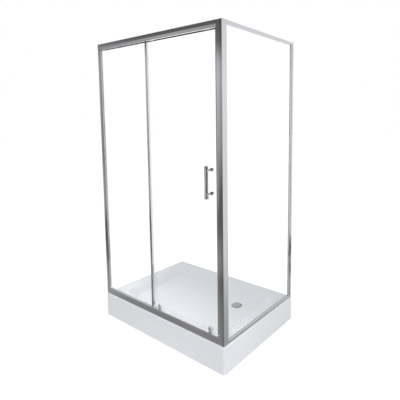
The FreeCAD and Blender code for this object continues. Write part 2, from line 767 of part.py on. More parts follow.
def side_top_rail():
    low = top_z - side_rail_height
    edges = [{"x": side_x, "z": low}, {"x": side_x, "z": top_z}, {"x": side_x - side_rail_depth, "z": top_z}]
    return side_rail(low, low - 1, low + groove_depth, edges)


def side_bottom_rail():
    high = rim_z + side_rail_height
    edges = [{"x": side_x, "z": high}, {"x": side_x - side_rail_depth, "z": high}]
    return side_rail(rim_z, high - groove_depth, high + 1, edges)


def end_caps():
    """Plastic caps on the uprights' upper ends, and on the rails' ends behind the left wall channel."""
    low = top_z - end_cap
    post = block(post_x, side_x, front_y, post_y, low, top_z)
    left = block(wall_x, channel_x, front_y, left_post_y, low, top_z)
    back = block(side_x - side_rail_depth, side_x, channel_y, wall_y, low, top_z)
    header_end = block(channel_x - end_cap, channel_x, left_post_y, post_y, header_z, top_z)
    rail_end = block(channel_x - end_cap, channel_x, left_post_y, post_y, rim_z, rib_top)
    return [post, left, back, header_end, rail_end]


def centre_stile():
    """Edge profile that slips over the free edge of the fixed front pane."""
    y0 = front_y + centre_stile_proud
    y1 = y0 + centre_stile_depth
    body = block(centre_left, centre_right, y0, y1, rail_z, header_z)
    body = soften(body, outer_round, "z", {"x": centre_left, "y": y0}, {"x": centre_right, "y": y0},
                  {"x": centre_left, "y": y1}, {"x": centre_right, "y": y1})
    groove = block(centre_left - 1, centre_left + groove_depth, groove_front, groove_back,
                   rail_z - 1, header_z + 1)
    return body.cut(groove)


# ---- Fixed glass ----
def fixed_front_glass():
    return block(left_stile_x - groove_depth + edge_cushion, centre_left + groove_depth - edge_cushion,
                 glass_y, glass_y + glass,
                 rail_z - groove_depth + edge_cushion, header_z + groove_depth - edge_cushion)


def side_glass():
    return block(glass_x - glass, glass_x,
                 post_y - groove_depth + edge_cushion, back_stile_y + groove_depth - edge_cushion,
                 rim_z + side_rail_height - groove_depth + edge_cushion,
                 top_z - side_rail_height + groove_depth - edge_cushion)


def front_glazing_gaskets():
    """One gasket, wrapped round the fixed front pane, that fills the grooves."""
    pane = fixed_front_glass()
    y0, y1 = groove_front, groove_back
    strips = [
        block(left_stile_x - groove_depth, left_stile_x, y0, y1, rail_z, header_z),
        block(centre_left, centre_left + groove_depth, y0, y1, rail_z, header_z),
        block(left_stile_x - groove_depth, centre_left + groove_depth, y0, y1, header_z, header_z + groove_depth),
        block(left_stile_x - groove_depth, centre_left + groove_depth, y0, y1, rail_z - groove_depth, rail_z),
    ]
    return join(*strips).cut(pane)


def side_glazing_gaskets():
    pane = side_glass()
    x0, x1 = side_groove_in, side_groove_out
    low, high = rim_z + side_rail_height, top_z - side_rail_height
    strips = [
        block(x0, x1, post_y - groove_depth, post_y, low, high),
        block(x0, x1, back_stile_y, back_stile_y + groove_depth, low, high),
        block(x0, x1, post_y, back_stile_y, high, high + groove_depth),
        block(x0, x1, post_y, back_stile_y, low - groove_depth, low),
    ]
    return [strip.cut(pane) for strip in strips]


def rail_infill_strips():
    """Close the glazing grooves of both rails along the doorway."""
    start = centre_left + groove_depth + 0.5
    return [block(start, post_x, groove_front, groove_back, rail_z - infill, rail_z),
            block(start, post_x, groove_front, groove_back, header_z, header_z + infill)]


def stile_lip_seal():
    """Soft lip from the centre stile to the door; it ends above the lower roller caps."""
    y0 = front_y + centre_stile_proud + centre_stile_depth
    low = rail_z + housing_height + 10
    return block(centre_stile_x - lip_seal_thickness / 2, centre_stile_x + lip_seal_thickness / 2,
                 y0, door_y - lip_seal_gap, low, header_z - 1)


def post_magnet_strip():
    return block(door_right + magnet_nose + magnet_gap, post_x + magnet_slot, door_y - 2, door_back + 2,
                 rail_z + 1, header_z - 1)


def foot_clips():
    """Small plastic clips on the bottom rail at the feet of the left and centre stiles."""
    y0 = front_y + centre_stile_proud + 0.5
    clips = []
    for x, y1 in ((left_stile_x, glass_y), (centre_right, y0 + centre_stile_depth - 1)):
        clip = block(x, x + foot_clip_length, y0, y1, rail_z, rail_z + foot_clip_height)
        clips.append(soften(clip, 5.0, "y", {"x": x + foot_clip_length, "z": rail_z + foot_clip_height}))
    return clips


def track_stops():
    """Rubber blocks on the header's shelf that the rollers meet at either end of the travel."""
    reach = wheel_flange + stop_gap
    left = roller_x["left"] - door_travel - reach
    right = roller_x["right"] + reach
    y0, y1 = wheel_y - wheel_width / 2 + 0.6, post_y - profile_wall
    stops = [block(left - stop_length, left, y0, y1, shelf_top, shelf_top + 14),
             block(right, right + stop_length, y0, y1, shelf_top, shelf_top + 14)]
    return [stop.cut(header_rail()) for stop in stops]


# ---- Door ----
def door_glass():
    pane = block(door_left, door_right, door_y, door_back, door_bottom, door_top)
    holes = [rod(handle_hole_radius, (handle_x, door_y - 1, z), (handle_x, door_back + 1, z))
             for z in handle_levels()]
    holes += [rod(stem_radius + 1.5, (x, door_y - 1, cap_z()), (x, door_back + 1, cap_z()))
              for x in roller_x.values()]
    return pane.cut(holes)


def door_edge_seal():
    strip = block(door_left - seal_nose, door_left + seal_wrap, door_y - seal_skin, door_back + seal_skin,
                  door_bottom + 1, door_top - 1)
    return strip.cut(block(door_left, door_right, door_y, door_back, door_bottom, door_top))


def door_magnet_strip():
    strip = block(door_right - seal_wrap, door_right + magnet_nose, door_y - 1.5, door_back + 1.5,
                  rail_z + 2, header_z - 2)
    strip = soften(strip, 1.0, "z", {"x": door_right - seal_wrap, "y": door_y - 1.5},
                   {"x": door_right - seal_wrap, "y": door_back + 1.5})
    return strip.cut(block(door_left, door_right, door_y, door_back, door_bottom, door_top))


def handle_levels():
    return (handle_z - handle_pitch / 2, handle_z + handle_pitch / 2)


def handle_bar():
    """A round bar, slightly waisted, turned about its upright axis."""
    y = door_y - handle_reach
    half = handle_length / 2
    low, high = handle_z - half, handle_z + half
    bevel = handle_end_round
    waist = Part.Arc(vec(handle_x + handle_end_radius, y, low + bevel),
                     vec(handle_x + handle_waist_radius, y, handle_z),
                     vec(handle_x + handle_end_radius, y, high - bevel)).toShape()
    points = [vec(handle_x + handle_end_radius, y, high - bevel), vec(handle_x + handle_end_radius - bevel, y, high),
              vec(handle_x, y, high), vec(handle_x, y, low), vec(handle_x + handle_end_radius - bevel, y, low),
              vec(handle_x + handle_end_radius, y, low + bevel)]
    lines = [Part.LineSegment(a, b).toShape() for a, b in zip(points, points[1:])]
    outline = Part.Wire([waist] + lines)
    bar = Part.Face(outline).revolve(vec(handle_x, y, handle_z), vec(0, 0, 1), 360)
    sockets = [handle_post(z) for z in handle_levels()]
    return bar.cut(sockets)


def handle_post(z):
    """Stand-off from its washer into the bar."""
    return rod(handle_post_radius, (handle_x, door_y - handle_washer, z),
               (handle_x, door_y - handle_reach + handle_waist_radius / 2, z))


def handle_posts():
    drilled = []
    for z in handle_levels():
        hole = rod(handle_screw_radius, (handle_x, door_y - handle_screw_reach, z), (handle_x, door_y + 1, z))
        drilled.append(handle_post(z).cut(hole))
    return drilled


def handle_washers():
    rings = []
    for z in handle_levels():
        rings.append(ring(handle_washer_radius, handle_screw_radius, (handle_x, door_y - handle_washer, z),
                          (handle_x, door_y, z)))
        rings.append(ring(handle_washer_radius - 1, handle_screw_radius, (handle_x, door_back, z),
                          (handle_x, door_back + handle_inner_washer, z)))
    return rings


def handle_screws():
    """Cap screws from inside the cabin, through the glass into the stand-offs."""
    screws = []
    start = door_back + handle_inner_washer
    for z in handle_levels():
        cap = rod(handle_cap_radius, (handle_x, start, z), (handle_x, start + handle_cap, z))
        rim = [edge for edge in cap.Edges if edge.BoundBox.YMin > start + handle_cap - 1 and edge.Closed]
        cap = cap.makeFillet(handle_cap_round, rim[:1])
        shank = rod(handle_screw_radius, (handle_x, door_y - handle_screw_reach, z), (handle_x, start + 1, z))
        screws.append(join(cap, shank))
    return screws


# ---- Rollers ----
def wheel(x, z):
    """Grooved plastic wheel, bored for its bearing."""
    y0, y1 = wheel_y - wheel_width / 2, wheel_y + wheel_width / 2
    half = rib_width / 2 + groove_play
    body = rod(wheel_flange, (x, y0, z), (x, y1, z))
    groove = ring(wheel_flange + 1, wheel_tread, (x, wheel_y - half, z), (x, wheel_y + half, z))
    bore = rod(bearing_radius, (x, y0 - 1, z), (x, y1 + 1, z))
    return body.cut([groove, bore])


def bearing(x, z):
    return ring(bearing_radius, axle_radius + axle_clearance, (x, wheel_y - wheel_width / 2, z),
                (x, wheel_y + wheel_width / 2, z))


def upper_roller_carriers():
    """Clamps on the upper edge of the door glass, with an upright plate that holds the axle."""
    pieces = []
    half = carrier_length / 2
    for x in roller_x.values():
        outer = block(x - half, x + half, door_y - clamp_leg, door_y, door_top - clamp_reach, door_top)
        web = block(x - half, x + half, door_y - clamp_leg, door_back + carrier_plate, door_top, door_top + 2)
        inner = block(x - half, x + half, door_back, door_back + carrier_plate, door_top - clamp_reach, door_top + 2)
        plate = block(x - half / 2, x + half / 2, door_back, door_back + carrier_plate,
                      door_top, upper_wheel_z + axle_head_radius + 2)
        hole = rod(axle_radius, (x, door_back - 1, upper_wheel_z), (x, wheel_y, upper_wheel_z))
        pieces.append(join(outer, web, inner, plate).cut(hole))
    return pieces


def axle(x, z, start, end):
    """A pin between two flat heads."""
    shank = rod(axle_radius, (x, start, z), (x, end, z))
    return join(shank, rod(axle_head_radius, (x, start - axle_head, z), (x, start, z)),
                rod(axle_head_radius, (x, end, z), (x, end + axle_head, z)))


def upper_axles():
    end = wheel_y + wheel_width / 2 + wheel_side_gap
    return [axle(x, upper_wheel_z, door_back, end) for x in roller_x.values()]


def housing_z():
    return lower_wheel_z + wheel_flange + housing_floor_gap


def cap_z():
    return housing_z() + cap_pitch_height


def arm_y():
    return wheel_y + wheel_width / 2 + wheel_side_gap


def lower_roller_housings():
    """Blocks on the inner face of the door glass, each with a shaft for its sprung carrier."""
    pieces = []
    low = housing_z()
    high = low + housing_height
    stem_y = arm_y() + carrier_arm / 2
    ceiling = shoulder_z() + spring_room
    for x in roller_x.values():
        body = block(x - housing_width / 2, x + housing_width / 2, door_back, door_back + housing_depth, low, high)
        body = soften(body, 6.0, "y", {"x": x - housing_width / 2, "z": high}, {"x": x + housing_width / 2, "z": high})
        slot_half = carrier_arm_width / 2 + carrier_play
        slot = block(x - slot_half, x + slot_half, arm_y() - carrier_play, arm_y() + carrier_arm + carrier_play,
                     low - 1, shoulder_z() - carrier_shoulder + release_travel + carrier_play)
        pocket = rod(carrier_shoulder_radius + carrier_play, (x, stem_y, shoulder_z() - carrier_shoulder - carrier_play),
                     (x, stem_y, ceiling))
        stem_hole = rod(stem_radius + carrier_play, (x, stem_y, ceiling - 1), (x, stem_y, high + 1))
        screw_hole = rod(stem_radius, (x, door_back - 1, cap_z()), (x, door_back + 6, cap_z()))
        pieces.append(cut(body, slot, pocket, stem_hole, screw_hole))
    return pieces


def lower_roller_caps():
    """Oblong screw caps on the outer face of the door glass, each with a raised ring."""
    caps = []
    half_width, half_height = cap_width / 2, cap_height / 2
    for x in roller_x.values():
        plate = block(x - half_width, x + half_width, door_y - cap_plate, door_y,
                      cap_z() - half_height, cap_z() + half_height)
        corners = [{"x": x + side * half_width, "z": cap_z() + end * half_height}
                   for side in (-1, 1) for end in (-1, 1)]
        plate = soften(plate, half_width - 0.5, "y", *corners)
        raised = ring(cap_ring_radius, cap_ring_hole, (x, door_y - cap_plate - cap_ring, cap_z()),
                      (x, door_y - cap_plate, cap_z()))
        shank = rod(stem_radius, (x, door_y - 1, cap_z()), (x, door_back + 6, cap_z()))
        caps.append(join(plate, raised, shank))
    return caps


def shoulder_z():
    """Upper face of the shoulder that the release spring presses on."""
    return housing_z() + carrier_shoulder + 4


def lower_carrier(x):
    """Sprung arm: axle seat below, shoulder for the spring, stem and finger tab above."""
    stem_y = arm_y() + carrier_arm / 2
    half = carrier_arm_width / 2
    arm = block(x - half, x + half, arm_y(), arm_y() + carrier_arm,
                lower_wheel_z - axle_head_radius - 3, shoulder_z() - carrier_shoulder)
    shoulder = rod(carrier_shoulder_radius, (x, stem_y, shoulder_z() - carrier_shoulder), (x, stem_y, shoulder_z()))
    tab_low = housing_z() + housing_height + tab_gap
    stem = rod(stem_radius, (x, stem_y, shoulder_z() - 1), (x, stem_y, tab_low + 1))
    tab = block(x - tab_width / 2, x + tab_width / 2, stem_y + 4 - tab_depth, stem_y + 4, tab_low, tab_low + tab_thickness)
    tab = soften(tab, 3.0, "z", {"x": x - tab_width / 2, "y": stem_y + 4 - tab_depth},
                 {"x": x + tab_width / 2, "y": stem_y + 4 - tab_depth},
                 {"x": x - tab_width / 2, "y": stem_y + 4}, {"x": x + tab_width / 2, "y": stem_y + 4})
    hole = rod(axle_radius, (x, arm_y() - 1, lower_wheel_z), (x, arm_y() + 10, lower_wheel_z))
    return join(arm, shoulder, stem, tab).cut(hole)


def lower_axle(x):
    return axle(x, lower_wheel_z, wheel_y - wheel_width / 2 - wheel_side_gap, arm_y() + carrier_arm)


def release_spring(x):
    """Compression spring between the carrier's shoulder and the housing."""
    stem_y = arm_y() + carrier_arm / 2
    low = shoulder_z() + spring_wire / 2 + 0.1
    height = spring_room - spring_wire - 0.2
    path = Part.makeHelix(height / spring_turns, height, spring_radius)
    start = path.Vertexes[0].Point
    section = Part.Wire(Part.makeCircle(spring_wire / 2, start, vec(0, 1, 0)))
    coil = Part.Wire(path).makePipeShell([section], True, True)
    coil.translate(vec(x, stem_y, low))
    return coil


os.makedirs("parts", exist_ok=True)

write("tray_shell", tray_shell())
write("apron_panel", apron_panel())
write("base_board", base_board())
write("long_tubes", group(long_tubes()))
write("cross_tubes", group(cross_tubes()))
write("foot_studs", group(foot_studs()))
write("foot_nuts", group(foot_nuts()))
write("foot_pads", group(foot_pads()))
write("apron_brackets", group(apron_brackets()))
write("drain_flange", drain_flange())
write("drain_gasket", drain_gasket())
write("trap_body", trap_body())
write("trap_insert", trap_insert())
write("drain_cover", drain_cover())

write("left_wall_channel", left_wall_channel())
write("back_wall_channel", back_wall_channel())
write("channel_screws", group(channel_screws()))
write("left_stile", left_stile())
write("back_stile", back_stile())
write("corner_post", corner_post())
write("header_rail", header_rail())
write("bottom_rail", bottom_rail())
write("side_top_rail", side_top_rail())
write("side_bottom_rail", side_bottom_rail())
write("end_caps", group(end_caps()))
write("centre_stile", centre_stile())
write("fixed_front_glass", fixed_front_glass())
write("side_glass", side_glass())
write("front_glazing_gaskets", front_glazing_gaskets())
write("side_glazing_gaskets", group(side_glazing_gaskets()))
write("rail_infill_strips", group(rail_infill_strips()))
write("stile_lip_seal", stile_lip_seal())
write("post_magnet_strip", post_magnet_strip())
write("foot_clips", group(foot_clips()))
write("track_stops", group(track_stops()))

write("door_glass", door_glass())
write("door_edge_seal", door_edge_seal())
write("door_magnet_strip", door_magnet_strip())
write("handle_bar", handle_bar())
write("handle_posts", group(handle_posts()))
write("handle_washers", group(handle_washers()))
write("handle_screws", group(handle_screws()))
write("upper_roller_carriers", group(upper_roller_carriers()))
write("upper_axles", group(upper_axles()))
write("lower_roller_housings", group(lower_roller_housings()))
write("lower_roller_caps", group(lower_roller_caps()))

for side, x in roller_x.items():
    write("upper_wheel_" + side, wheel(x, upper_wheel_z))
    write("upper_bearing_" + side, bearing(x, upper_wheel_z))
    write("lower_wheel_" + side, wheel(x, lower_wheel_z))
    write("lower_bearing_" + side, bearing(x, lower_wheel_z))
    write("lower_carrier_" + side, lower_carrier(x))
    write("lower_axle_" + side, lower_axle(x))
    write("release_spring_" + side, release_spring(x))
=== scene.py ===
# %% [markdown]
# # Dressing a corner shower enclosure
# The measured model already holds every profile, pane, roller and screw in its true place. This
# script gives each of them its finish, adds the small things that only the eye needs, and sets up
# the white studio with its lamps and camera. Nothing here moves or resizes a measured part.

# %% Load the measured model
import math

import bmesh
import bpy
from mathutils import Euler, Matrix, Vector


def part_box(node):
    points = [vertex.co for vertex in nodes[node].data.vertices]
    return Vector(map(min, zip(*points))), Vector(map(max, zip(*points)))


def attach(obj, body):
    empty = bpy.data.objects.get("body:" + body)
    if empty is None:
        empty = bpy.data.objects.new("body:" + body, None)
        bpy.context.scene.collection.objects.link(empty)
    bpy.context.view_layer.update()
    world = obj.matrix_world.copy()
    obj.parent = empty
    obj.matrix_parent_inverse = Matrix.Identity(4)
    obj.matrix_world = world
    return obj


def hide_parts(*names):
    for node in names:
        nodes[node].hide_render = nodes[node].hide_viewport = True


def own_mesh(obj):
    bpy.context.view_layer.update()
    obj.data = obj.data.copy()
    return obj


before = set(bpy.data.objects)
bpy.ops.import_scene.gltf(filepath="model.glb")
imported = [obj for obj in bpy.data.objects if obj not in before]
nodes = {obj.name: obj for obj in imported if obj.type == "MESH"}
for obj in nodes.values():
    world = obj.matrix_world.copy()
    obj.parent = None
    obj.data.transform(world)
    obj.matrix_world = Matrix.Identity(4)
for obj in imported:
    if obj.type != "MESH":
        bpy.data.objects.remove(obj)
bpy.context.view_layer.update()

# %% [markdown]
# ## The camera
# The picture was taken a little above eye level, with upright edges that stay nearly parallel. A
# camera that is only tilted down makes them lean together. A shifted lens keeps the tilt small, the
# way an architect's lens does. Its place and angle come from the corners of the frame and the tray.

# %% Camera
frame_pixels = 400
lens_pixels = 364.6
centre_pixels = (250.0, 158.0)
sensor_width = 36.0  # millimetres
camera_place = (1.9251, -1.9558, 1.5258)
camera_turn = 36.11  # degrees
camera_tilt = 5.86  # degrees

camera = bpy.data.objects.new("camera", bpy.data.cameras.new("camera"))
bpy.context.scene.collection.objects.link(camera)
camera.data.sensor_width = sensor_width
camera.data.lens = sensor_width * lens_pixels / frame_pixels
camera.data.shift_x = (frame_pixels / 2 - centre_pixels[0]) / frame_pixels
camera.data.shift_y = (centre_pixels[1] - frame_pixels / 2) / frame_pixels
camera.location = camera_place
camera.rotation_euler = Euler((math.radians(90 - camera_tilt), 0, math.radians(camera_turn)))
bpy.context.scene.camera = camera
print("lens", round(camera.data.lens, 2), "mm, shift", camera.data.shift_x, camera.data.shift_y)

# %% [markdown]
# ## Helpers for node trees
# A node's inputs are numbers, vectors or links from other nodes. A few small helpers place a node
# and feed it with any of these, so that each finish below reads as a list of what it does.


# %% Nodes and arithmetic
def add(tree, kind, **inputs):
    """One node, with its unlinked inputs set by name."""
    node = tree.nodes.new(kind)
    for name, value in inputs.items():
        node.inputs[name.replace("_", " ")].default_value = value
    return node


def feed(tree, node, *values):
    """Give a node its inputs in order, each a number, a vector or a link."""
    for socket, value in zip(node.inputs, values):
        if isinstance(value, bpy.types.NodeSocket):
            tree.links.new(value, socket)
        else:
            socket.default_value = value
    return node.outputs[0]


def calculate(tree, operation, *values):
    """A Math node on links or numbers."""
    node = tree.nodes.new("ShaderNodeMath")
    node.operation = operation
    return feed(tree, node, *values)


def calculate_vector(tree, operation, *values):
    """A Vector Math node on links or vectors."""
    node = tree.nodes.new("ShaderNodeVectorMath")
    node.operation = operation
    feed(tree, node, *values)
    return node.outputs["Value" if operation == "DOT_PRODUCT" else "Vector"]


def parts_of(tree, vector):
    """The parts of a vector or a colour, as links named X, Y and Z."""
    split = tree.nodes.new("ShaderNodeSeparateXYZ")
    tree.links.new(vector, split.inputs[0])
    return split.outputs


def between(tree, share, first, second):
    """A colour between two others; each is a link or three numbers."""
    node = tree.nodes.new("ShaderNodeMix")
    node.data_type = "RGBA"
    tree.links.new(share, node.inputs["Factor"])
    for name, colour in (("A", first), ("B", second)):
        if isinstance(colour, bpy.types.NodeSocket):
            tree.links.new(colour, node.inputs[name])
        else:
            node.inputs[name].default_value = (*colour, 1)
    return node.outputs["Result"]


# %% [markdown]
# ## Helpers for finishes
# Every finish is a Principled shader whose fixed numbers sit on the shader's own sockets. What
# varies over the surface, such as grain or smudges, comes from patterns on Object coordinates, so
# it stays put on the piece from any side and in any pose.


# %% Make a finish
def new_finish(name, **sockets):
    """A material with one Principled shader and the given numbers on its sockets."""
    material = bpy.data.materials.new(name)
    material.use_nodes = True
    shader = material.node_tree.nodes["Principled BSDF"]
    for socket, value in sockets.items():
        shader.inputs[socket.replace("_", " ")].default_value = value
    print("finish:", name)
    return material, material.node_tree, shader


def object_coordinates(tree, stretch=(1, 1, 1)):
    """Object coordinates in metres, stretched to turn specks into grain."""
    place = tree.nodes.new("ShaderNodeTexCoord")
    mapping = add(tree, "ShaderNodeMapping", Scale=stretch)
    tree.links.new(place.outputs["Object"], mapping.inputs["Vector"])
    return mapping.outputs["Vector"]


def dimmed(tone, share):
    """The same tone, a little darker."""
    return tuple(share * part for part in tone)


# %% [markdown]
# ## Effects that finishes share
# Three effects come back on many surfaces: a soft unevenness that keeps gloss from looking like
# plastic wrap, the fine drawn lines of an extruded profile, and a trace of dust on upward faces.
# Each is a node group built once, and every finish places it with its own values.


# %% Empty shader group
def new_group(name, inputs, outputs):
    """An empty shader group with float or vector inputs, and the nodes at its two ends."""
    group = bpy.data.node_groups.new(name, "ShaderNodeTree")
    for label, kind, value in inputs:
        socket = group.interface.new_socket(label, in_out="INPUT", socket_type=kind)
        if value is not None:
            socket.default_value = value
    for label, kind in outputs:
        group.interface.new_socket(label, in_out="OUTPUT", socket_type=kind)
    return group, group.nodes.new("NodeGroupInput"), group.nodes.new("NodeGroupOutput")


# %% Soft unevenness
def unevenness_group():
    """Soft noise around a middle value, for roughness and smudges."""
    group, start, end = new_group(
        "soft_unevenness",
        [("Vector", "NodeSocketVector", None), ("Scale", "NodeSocketFloat", 8.0),
         ("Middle", "NodeSocketFloat", 0.2), ("Swing", "NodeSocketFloat", 0.05)],
        [("Value", "NodeSocketFloat")])
    noise = add(group, "ShaderNodeTexNoise", Detail=3.0, Roughness=0.55)
    group.links.new(start.outputs["Vector"], noise.inputs["Vector"])
    group.links.new(start.outputs["Scale"], noise.inputs["Scale"])
    centred = calculate(group, "SUBTRACT", noise.outputs["Fac"], 0.5)
    swing = calculate(group, "MULTIPLY", start.outputs["Swing"], 2.0)
    change = calculate(group, "MULTIPLY", centred, swing)
    total = calculate(group, "ADD", change, start.outputs["Middle"])
    group.links.new(total, end.inputs["Value"])
    return group


# %% Drawn grain
def grain_group():
    """Fine lines along a profile, as a height for a bump and as a mask for the tone."""
    group, start, end = new_group(
        "drawn_grain",
        [("Vector", "NodeSocketVector", None), ("Depth", "NodeSocketFloat", 0.3)],
        [("Height", "NodeSocketFloat"), ("Mask", "NodeSocketFloat")])
    fine = add(group, "ShaderNodeTexNoise", Scale=1.0, Detail=4.0, Roughness=0.6)
    broad = add(group, "ShaderNodeTexNoise", Scale=0.18, Detail=1.0, Roughness=0.5)
    for noise in (fine, broad):
        group.links.new(start.outputs["Vector"], noise.inputs["Vector"])
    mixed = calculate(group, "MULTIPLY", fine.outputs["Fac"], broad.outputs["Fac"])
    height = calculate(group, "MULTIPLY", mixed, start.outputs["Depth"])
    group.links.new(height, end.inputs["Height"])
    group.links.new(mixed, end.inputs["Mask"])
    return group


# %% Settled dust
def dust_group():
    """A mask of thin dust that lies on faces turned upwards."""
    group, start, end = new_group(
        "settled_dust",
        [("Vector", "NodeSocketVector", None), ("Amount", "NodeSocketFloat", 0.2)],
        [("Mask", "NodeSocketFloat")])
    geometry = group.nodes.new("ShaderNodeNewGeometry")
    upward = calculate(group, "MAXIMUM", parts_of(group, geometry.outputs["Normal"])["Z"], 0.0)
    noise = add(group, "ShaderNodeTexNoise", Scale=14.0, Detail=5.0, Roughness=0.65)
    group.links.new(start.outputs["Vector"], noise.inputs["Vector"])
    patch = calculate(group, "MULTIPLY", noise.outputs["Fac"], upward)
    mask = calculate(group, "MULTIPLY", patch, start.outputs["Amount"])
    group.links.new(mask, end.inputs["Mask"])
    return group


UNEVENNESS = unevenness_group()
GRAIN = grain_group()
DUST = dust_group()
print("groups:", [group.name for group in bpy.data.node_groups])


# %% Use the effects in a finish
def place_group(tree, group, vector, **inputs):
    """A shared effect placed in a finish, with its own values."""
    node = tree.nodes.new("ShaderNodeGroup")
    node.node_tree = group
    for name, value in inputs.items():
        node.inputs[name].default_value = value
    tree.links.new(vector, node.inputs["Vector"])
    return node


def uneven_gloss(tree, shader, scale, middle, swing):
    """Roughness that wanders a little around its middle value."""
    place = object_coordinates(tree)
    node = place_group(tree, UNEVENNESS, place, Scale=scale, Middle=middle, Swing=swing)
    tree.links.new(node.outputs["Value"], shader.inputs["Roughness"])


def bump(tree, shader, height, strength, distance):
    """A bump from a height to the shader's normal."""
    node = add(tree, "ShaderNodeBump", Strength=strength, Distance=distance)
    tree.links.new(height, node.inputs["Height"])
    tree.links.new(node.outputs["Normal"], shader.inputs["Normal"])


def two_tone(tree, shader, mask, first, second):
    """Base colour between two tones, by a mask."""
    tree.links.new(between(tree, mask, first, second), shader.inputs["Base Color"])


# %% [markdown]
# ## Bright aluminium
# The frame is extruded aluminium, polished and anodised. It mirrors its surroundings softly, with
# hair-fine lines along each profile. One recipe serves all three directions: the pattern is
# stretched along the profile's own axis. The corner post's faces are a touch round, so a broad bump
# bends its normals outwards and each face mirrors a wider part of the room.


# %% Aluminium for uprights, long rails and side rails
aluminium_tone = (0.74, 0.75, 0.78)
crown_height = 1.3


def crowned(tree, shader, middle):
    """Round the faces about an upright middle line, under the bump that is there already."""
    fine = shader.inputs["Normal"].links[0].from_node
    level = add(tree, "ShaderNodeMapping", Location=(-middle[0], -middle[1], 0), Scale=(1, 1, 0))
    tree.links.new(object_coordinates(tree), level.inputs["Vector"])
    away = level.outputs["Vector"]
    round_face = add(tree, "ShaderNodeBump", Strength=1.0, Distance=crown_height)
    round_face.invert = True
    tree.links.new(calculate_vector(tree, "DOT_PRODUCT", away, away), round_face.inputs["Height"])
    tree.links.new(round_face.outputs["Normal"], fine.inputs["Normal"])


def aluminium(name, stretch, crown=None):
    """Drawn aluminium; crown is the middle of a profile whose faces are a touch round."""
    material, tree, shader = new_finish(name, Metallic=1.0, Specular_IOR_Level=0.5)
    lines = place_group(tree, GRAIN, object_coordinates(tree, stretch), Depth=1.0)
    two_tone(tree, shader, lines.outputs["Mask"], aluminium_tone, dimmed(aluminium_tone, 0.94))
    bump(tree, shader, lines.outputs["Height"], strength=0.06, distance=0.0002)
    uneven_gloss(tree, shader, scale=3.0, middle=0.12, swing=0.03)
    if crown:
        crowned(tree, shader, crown)
    return material


# How fine the pattern is across and along a profile.
ACROSS, ALONG = 900.0, 3.0
post_low, post_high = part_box("corner_post")
post_middle = [(low + high) / 2 for low, high in zip(post_low, post_high)]
aluminium_upright = aluminium("aluminium_upright", (ACROSS, ACROSS, ALONG))
aluminium_post = aluminium("aluminium_post", (ACROSS, ACROSS, ALONG), crown=post_middle)
aluminium_rail = aluminium("aluminium_rail", (ALONG, ACROSS, ACROSS))
aluminium_side_rail = aluminium("aluminium_side_rail", (ACROSS, ALONG, ACROSS))
print("post's middle:", [round(value, 4) for value in post_middle])

# %% [markdown]
# ## Chrome
# The handle, the caps and the drain are chromed brass and plastic: a darker, harder mirror than the
# aluminium, with only the faintest smudges. Rollers and springs are plain bright steel, which the
# same recipe gives with more roughness.


# %% Chrome and bright steel
def chrome(name, tone, middle, swing):
    """A hard mirror with faint smudges and a roughness that swings about its middle."""
    material, tree, shader = new_finish(name, Metallic=1.0)
    place = object_coordinates(tree)
    smudge = place_group(tree, UNEVENNESS, place, Scale=60.0, Middle=0.5, Swing=0.5)
    two_tone(tree, shader, smudge.outputs["Value"], tone, dimmed(tone, 0.93))
    uneven_gloss(tree, shader, scale=45.0, middle=middle, swing=swing)
    return material


chrome_bright = chrome("chrome_bright", (0.80, 0.81, 0.83), middle=0.07, swing=0.03)
drain_chrome = chrome("drain_chrome", (0.60, 0.60, 0.61), middle=0.20, swing=0.05)
handle_chrome = chrome("handle_chrome", (0.36, 0.355, 0.35), middle=0.10, swing=0.03)
roller_steel = chrome("roller_steel", (0.62, 0.62, 0.63), middle=0.24, swing=0.08)

# %% [markdown]
# ## Sanitary acrylic
# The tray is vacuum-formed acrylic, thick, white and glossy, with a slightly cool white. Forming
# leaves a very slow waviness that only shows in reflections, so it goes in as a weak, broad bump.


# %% Acrylic
def acrylic(name, tone, dusty):
    """White acrylic under a clear coat, with a slow wave and some dust."""
    material, tree, shader = new_finish(name, Metallic=0.0, Coat_Weight=0.25, Coat_Roughness=0.04)
    place = object_coordinates(tree)
    dust = place_group(tree, DUST, place, Amount=dusty)
    two_tone(tree, shader, dust.outputs["Mask"], tone, dimmed(tone, 0.95))
    uneven_gloss(tree, shader, scale=2.5, middle=0.16, swing=0.04)
    wave = add(tree, "ShaderNodeTexNoise", Scale=4.0, Detail=1.0)
    tree.links.new(place, wave.inputs["Vector"])
    bump(tree, shader, wave.outputs["Fac"], strength=0.05, distance=0.002)
    return material


tray_acrylic = acrylic("tray_acrylic", (0.845, 0.87, 0.905), dusty=0.4)
apron_acrylic = acrylic("apron_acrylic", (0.815, 0.825, 0.852), dusty=0.1)

# %% [markdown]
# ## Clear glass
# The panes are clear toughened glass, almost invisible against white. The shader is real glass to
# the eye and in reflections. Lamp light and light that has bounced off the tray go straight
# through it, as they nearly do in life, and this keeps the tray evenly lit and free of noise.


# %% Glass
def clear_glass():
    """Glass that lets lamp light and bounced light straight through."""
    material, tree, shader = new_finish(
        "clear_glass", Base_Color=(0.995, 1.0, 0.998, 1), Metallic=0.0, IOR=1.45,
        Specular_IOR_Level=0.3, Transmission_Weight=1.0)
    ray = tree.nodes.new("ShaderNodeLightPath").outputs
    passes = calculate(tree, "MAXIMUM", ray["Is Shadow Ray"], ray["Is Diffuse Ray"])
    tree.links.new(calculate(tree, "SUBTRACT", 1.0, passes), shader.inputs["Alpha"])
    uneven_gloss(tree, shader, scale=3.0, middle=0.0, swing=0.004)
    return material


glass_clear = clear_glass()

# %% [markdown]
# ## Plastics, rubber and the hidden supports
# Small plastic pieces get a moulded skin: a fine bump and uneven gloss. Galvanised tubes show the
# spangle of zinc crystals, which a Voronoi pattern gives, and the board shows its chips.


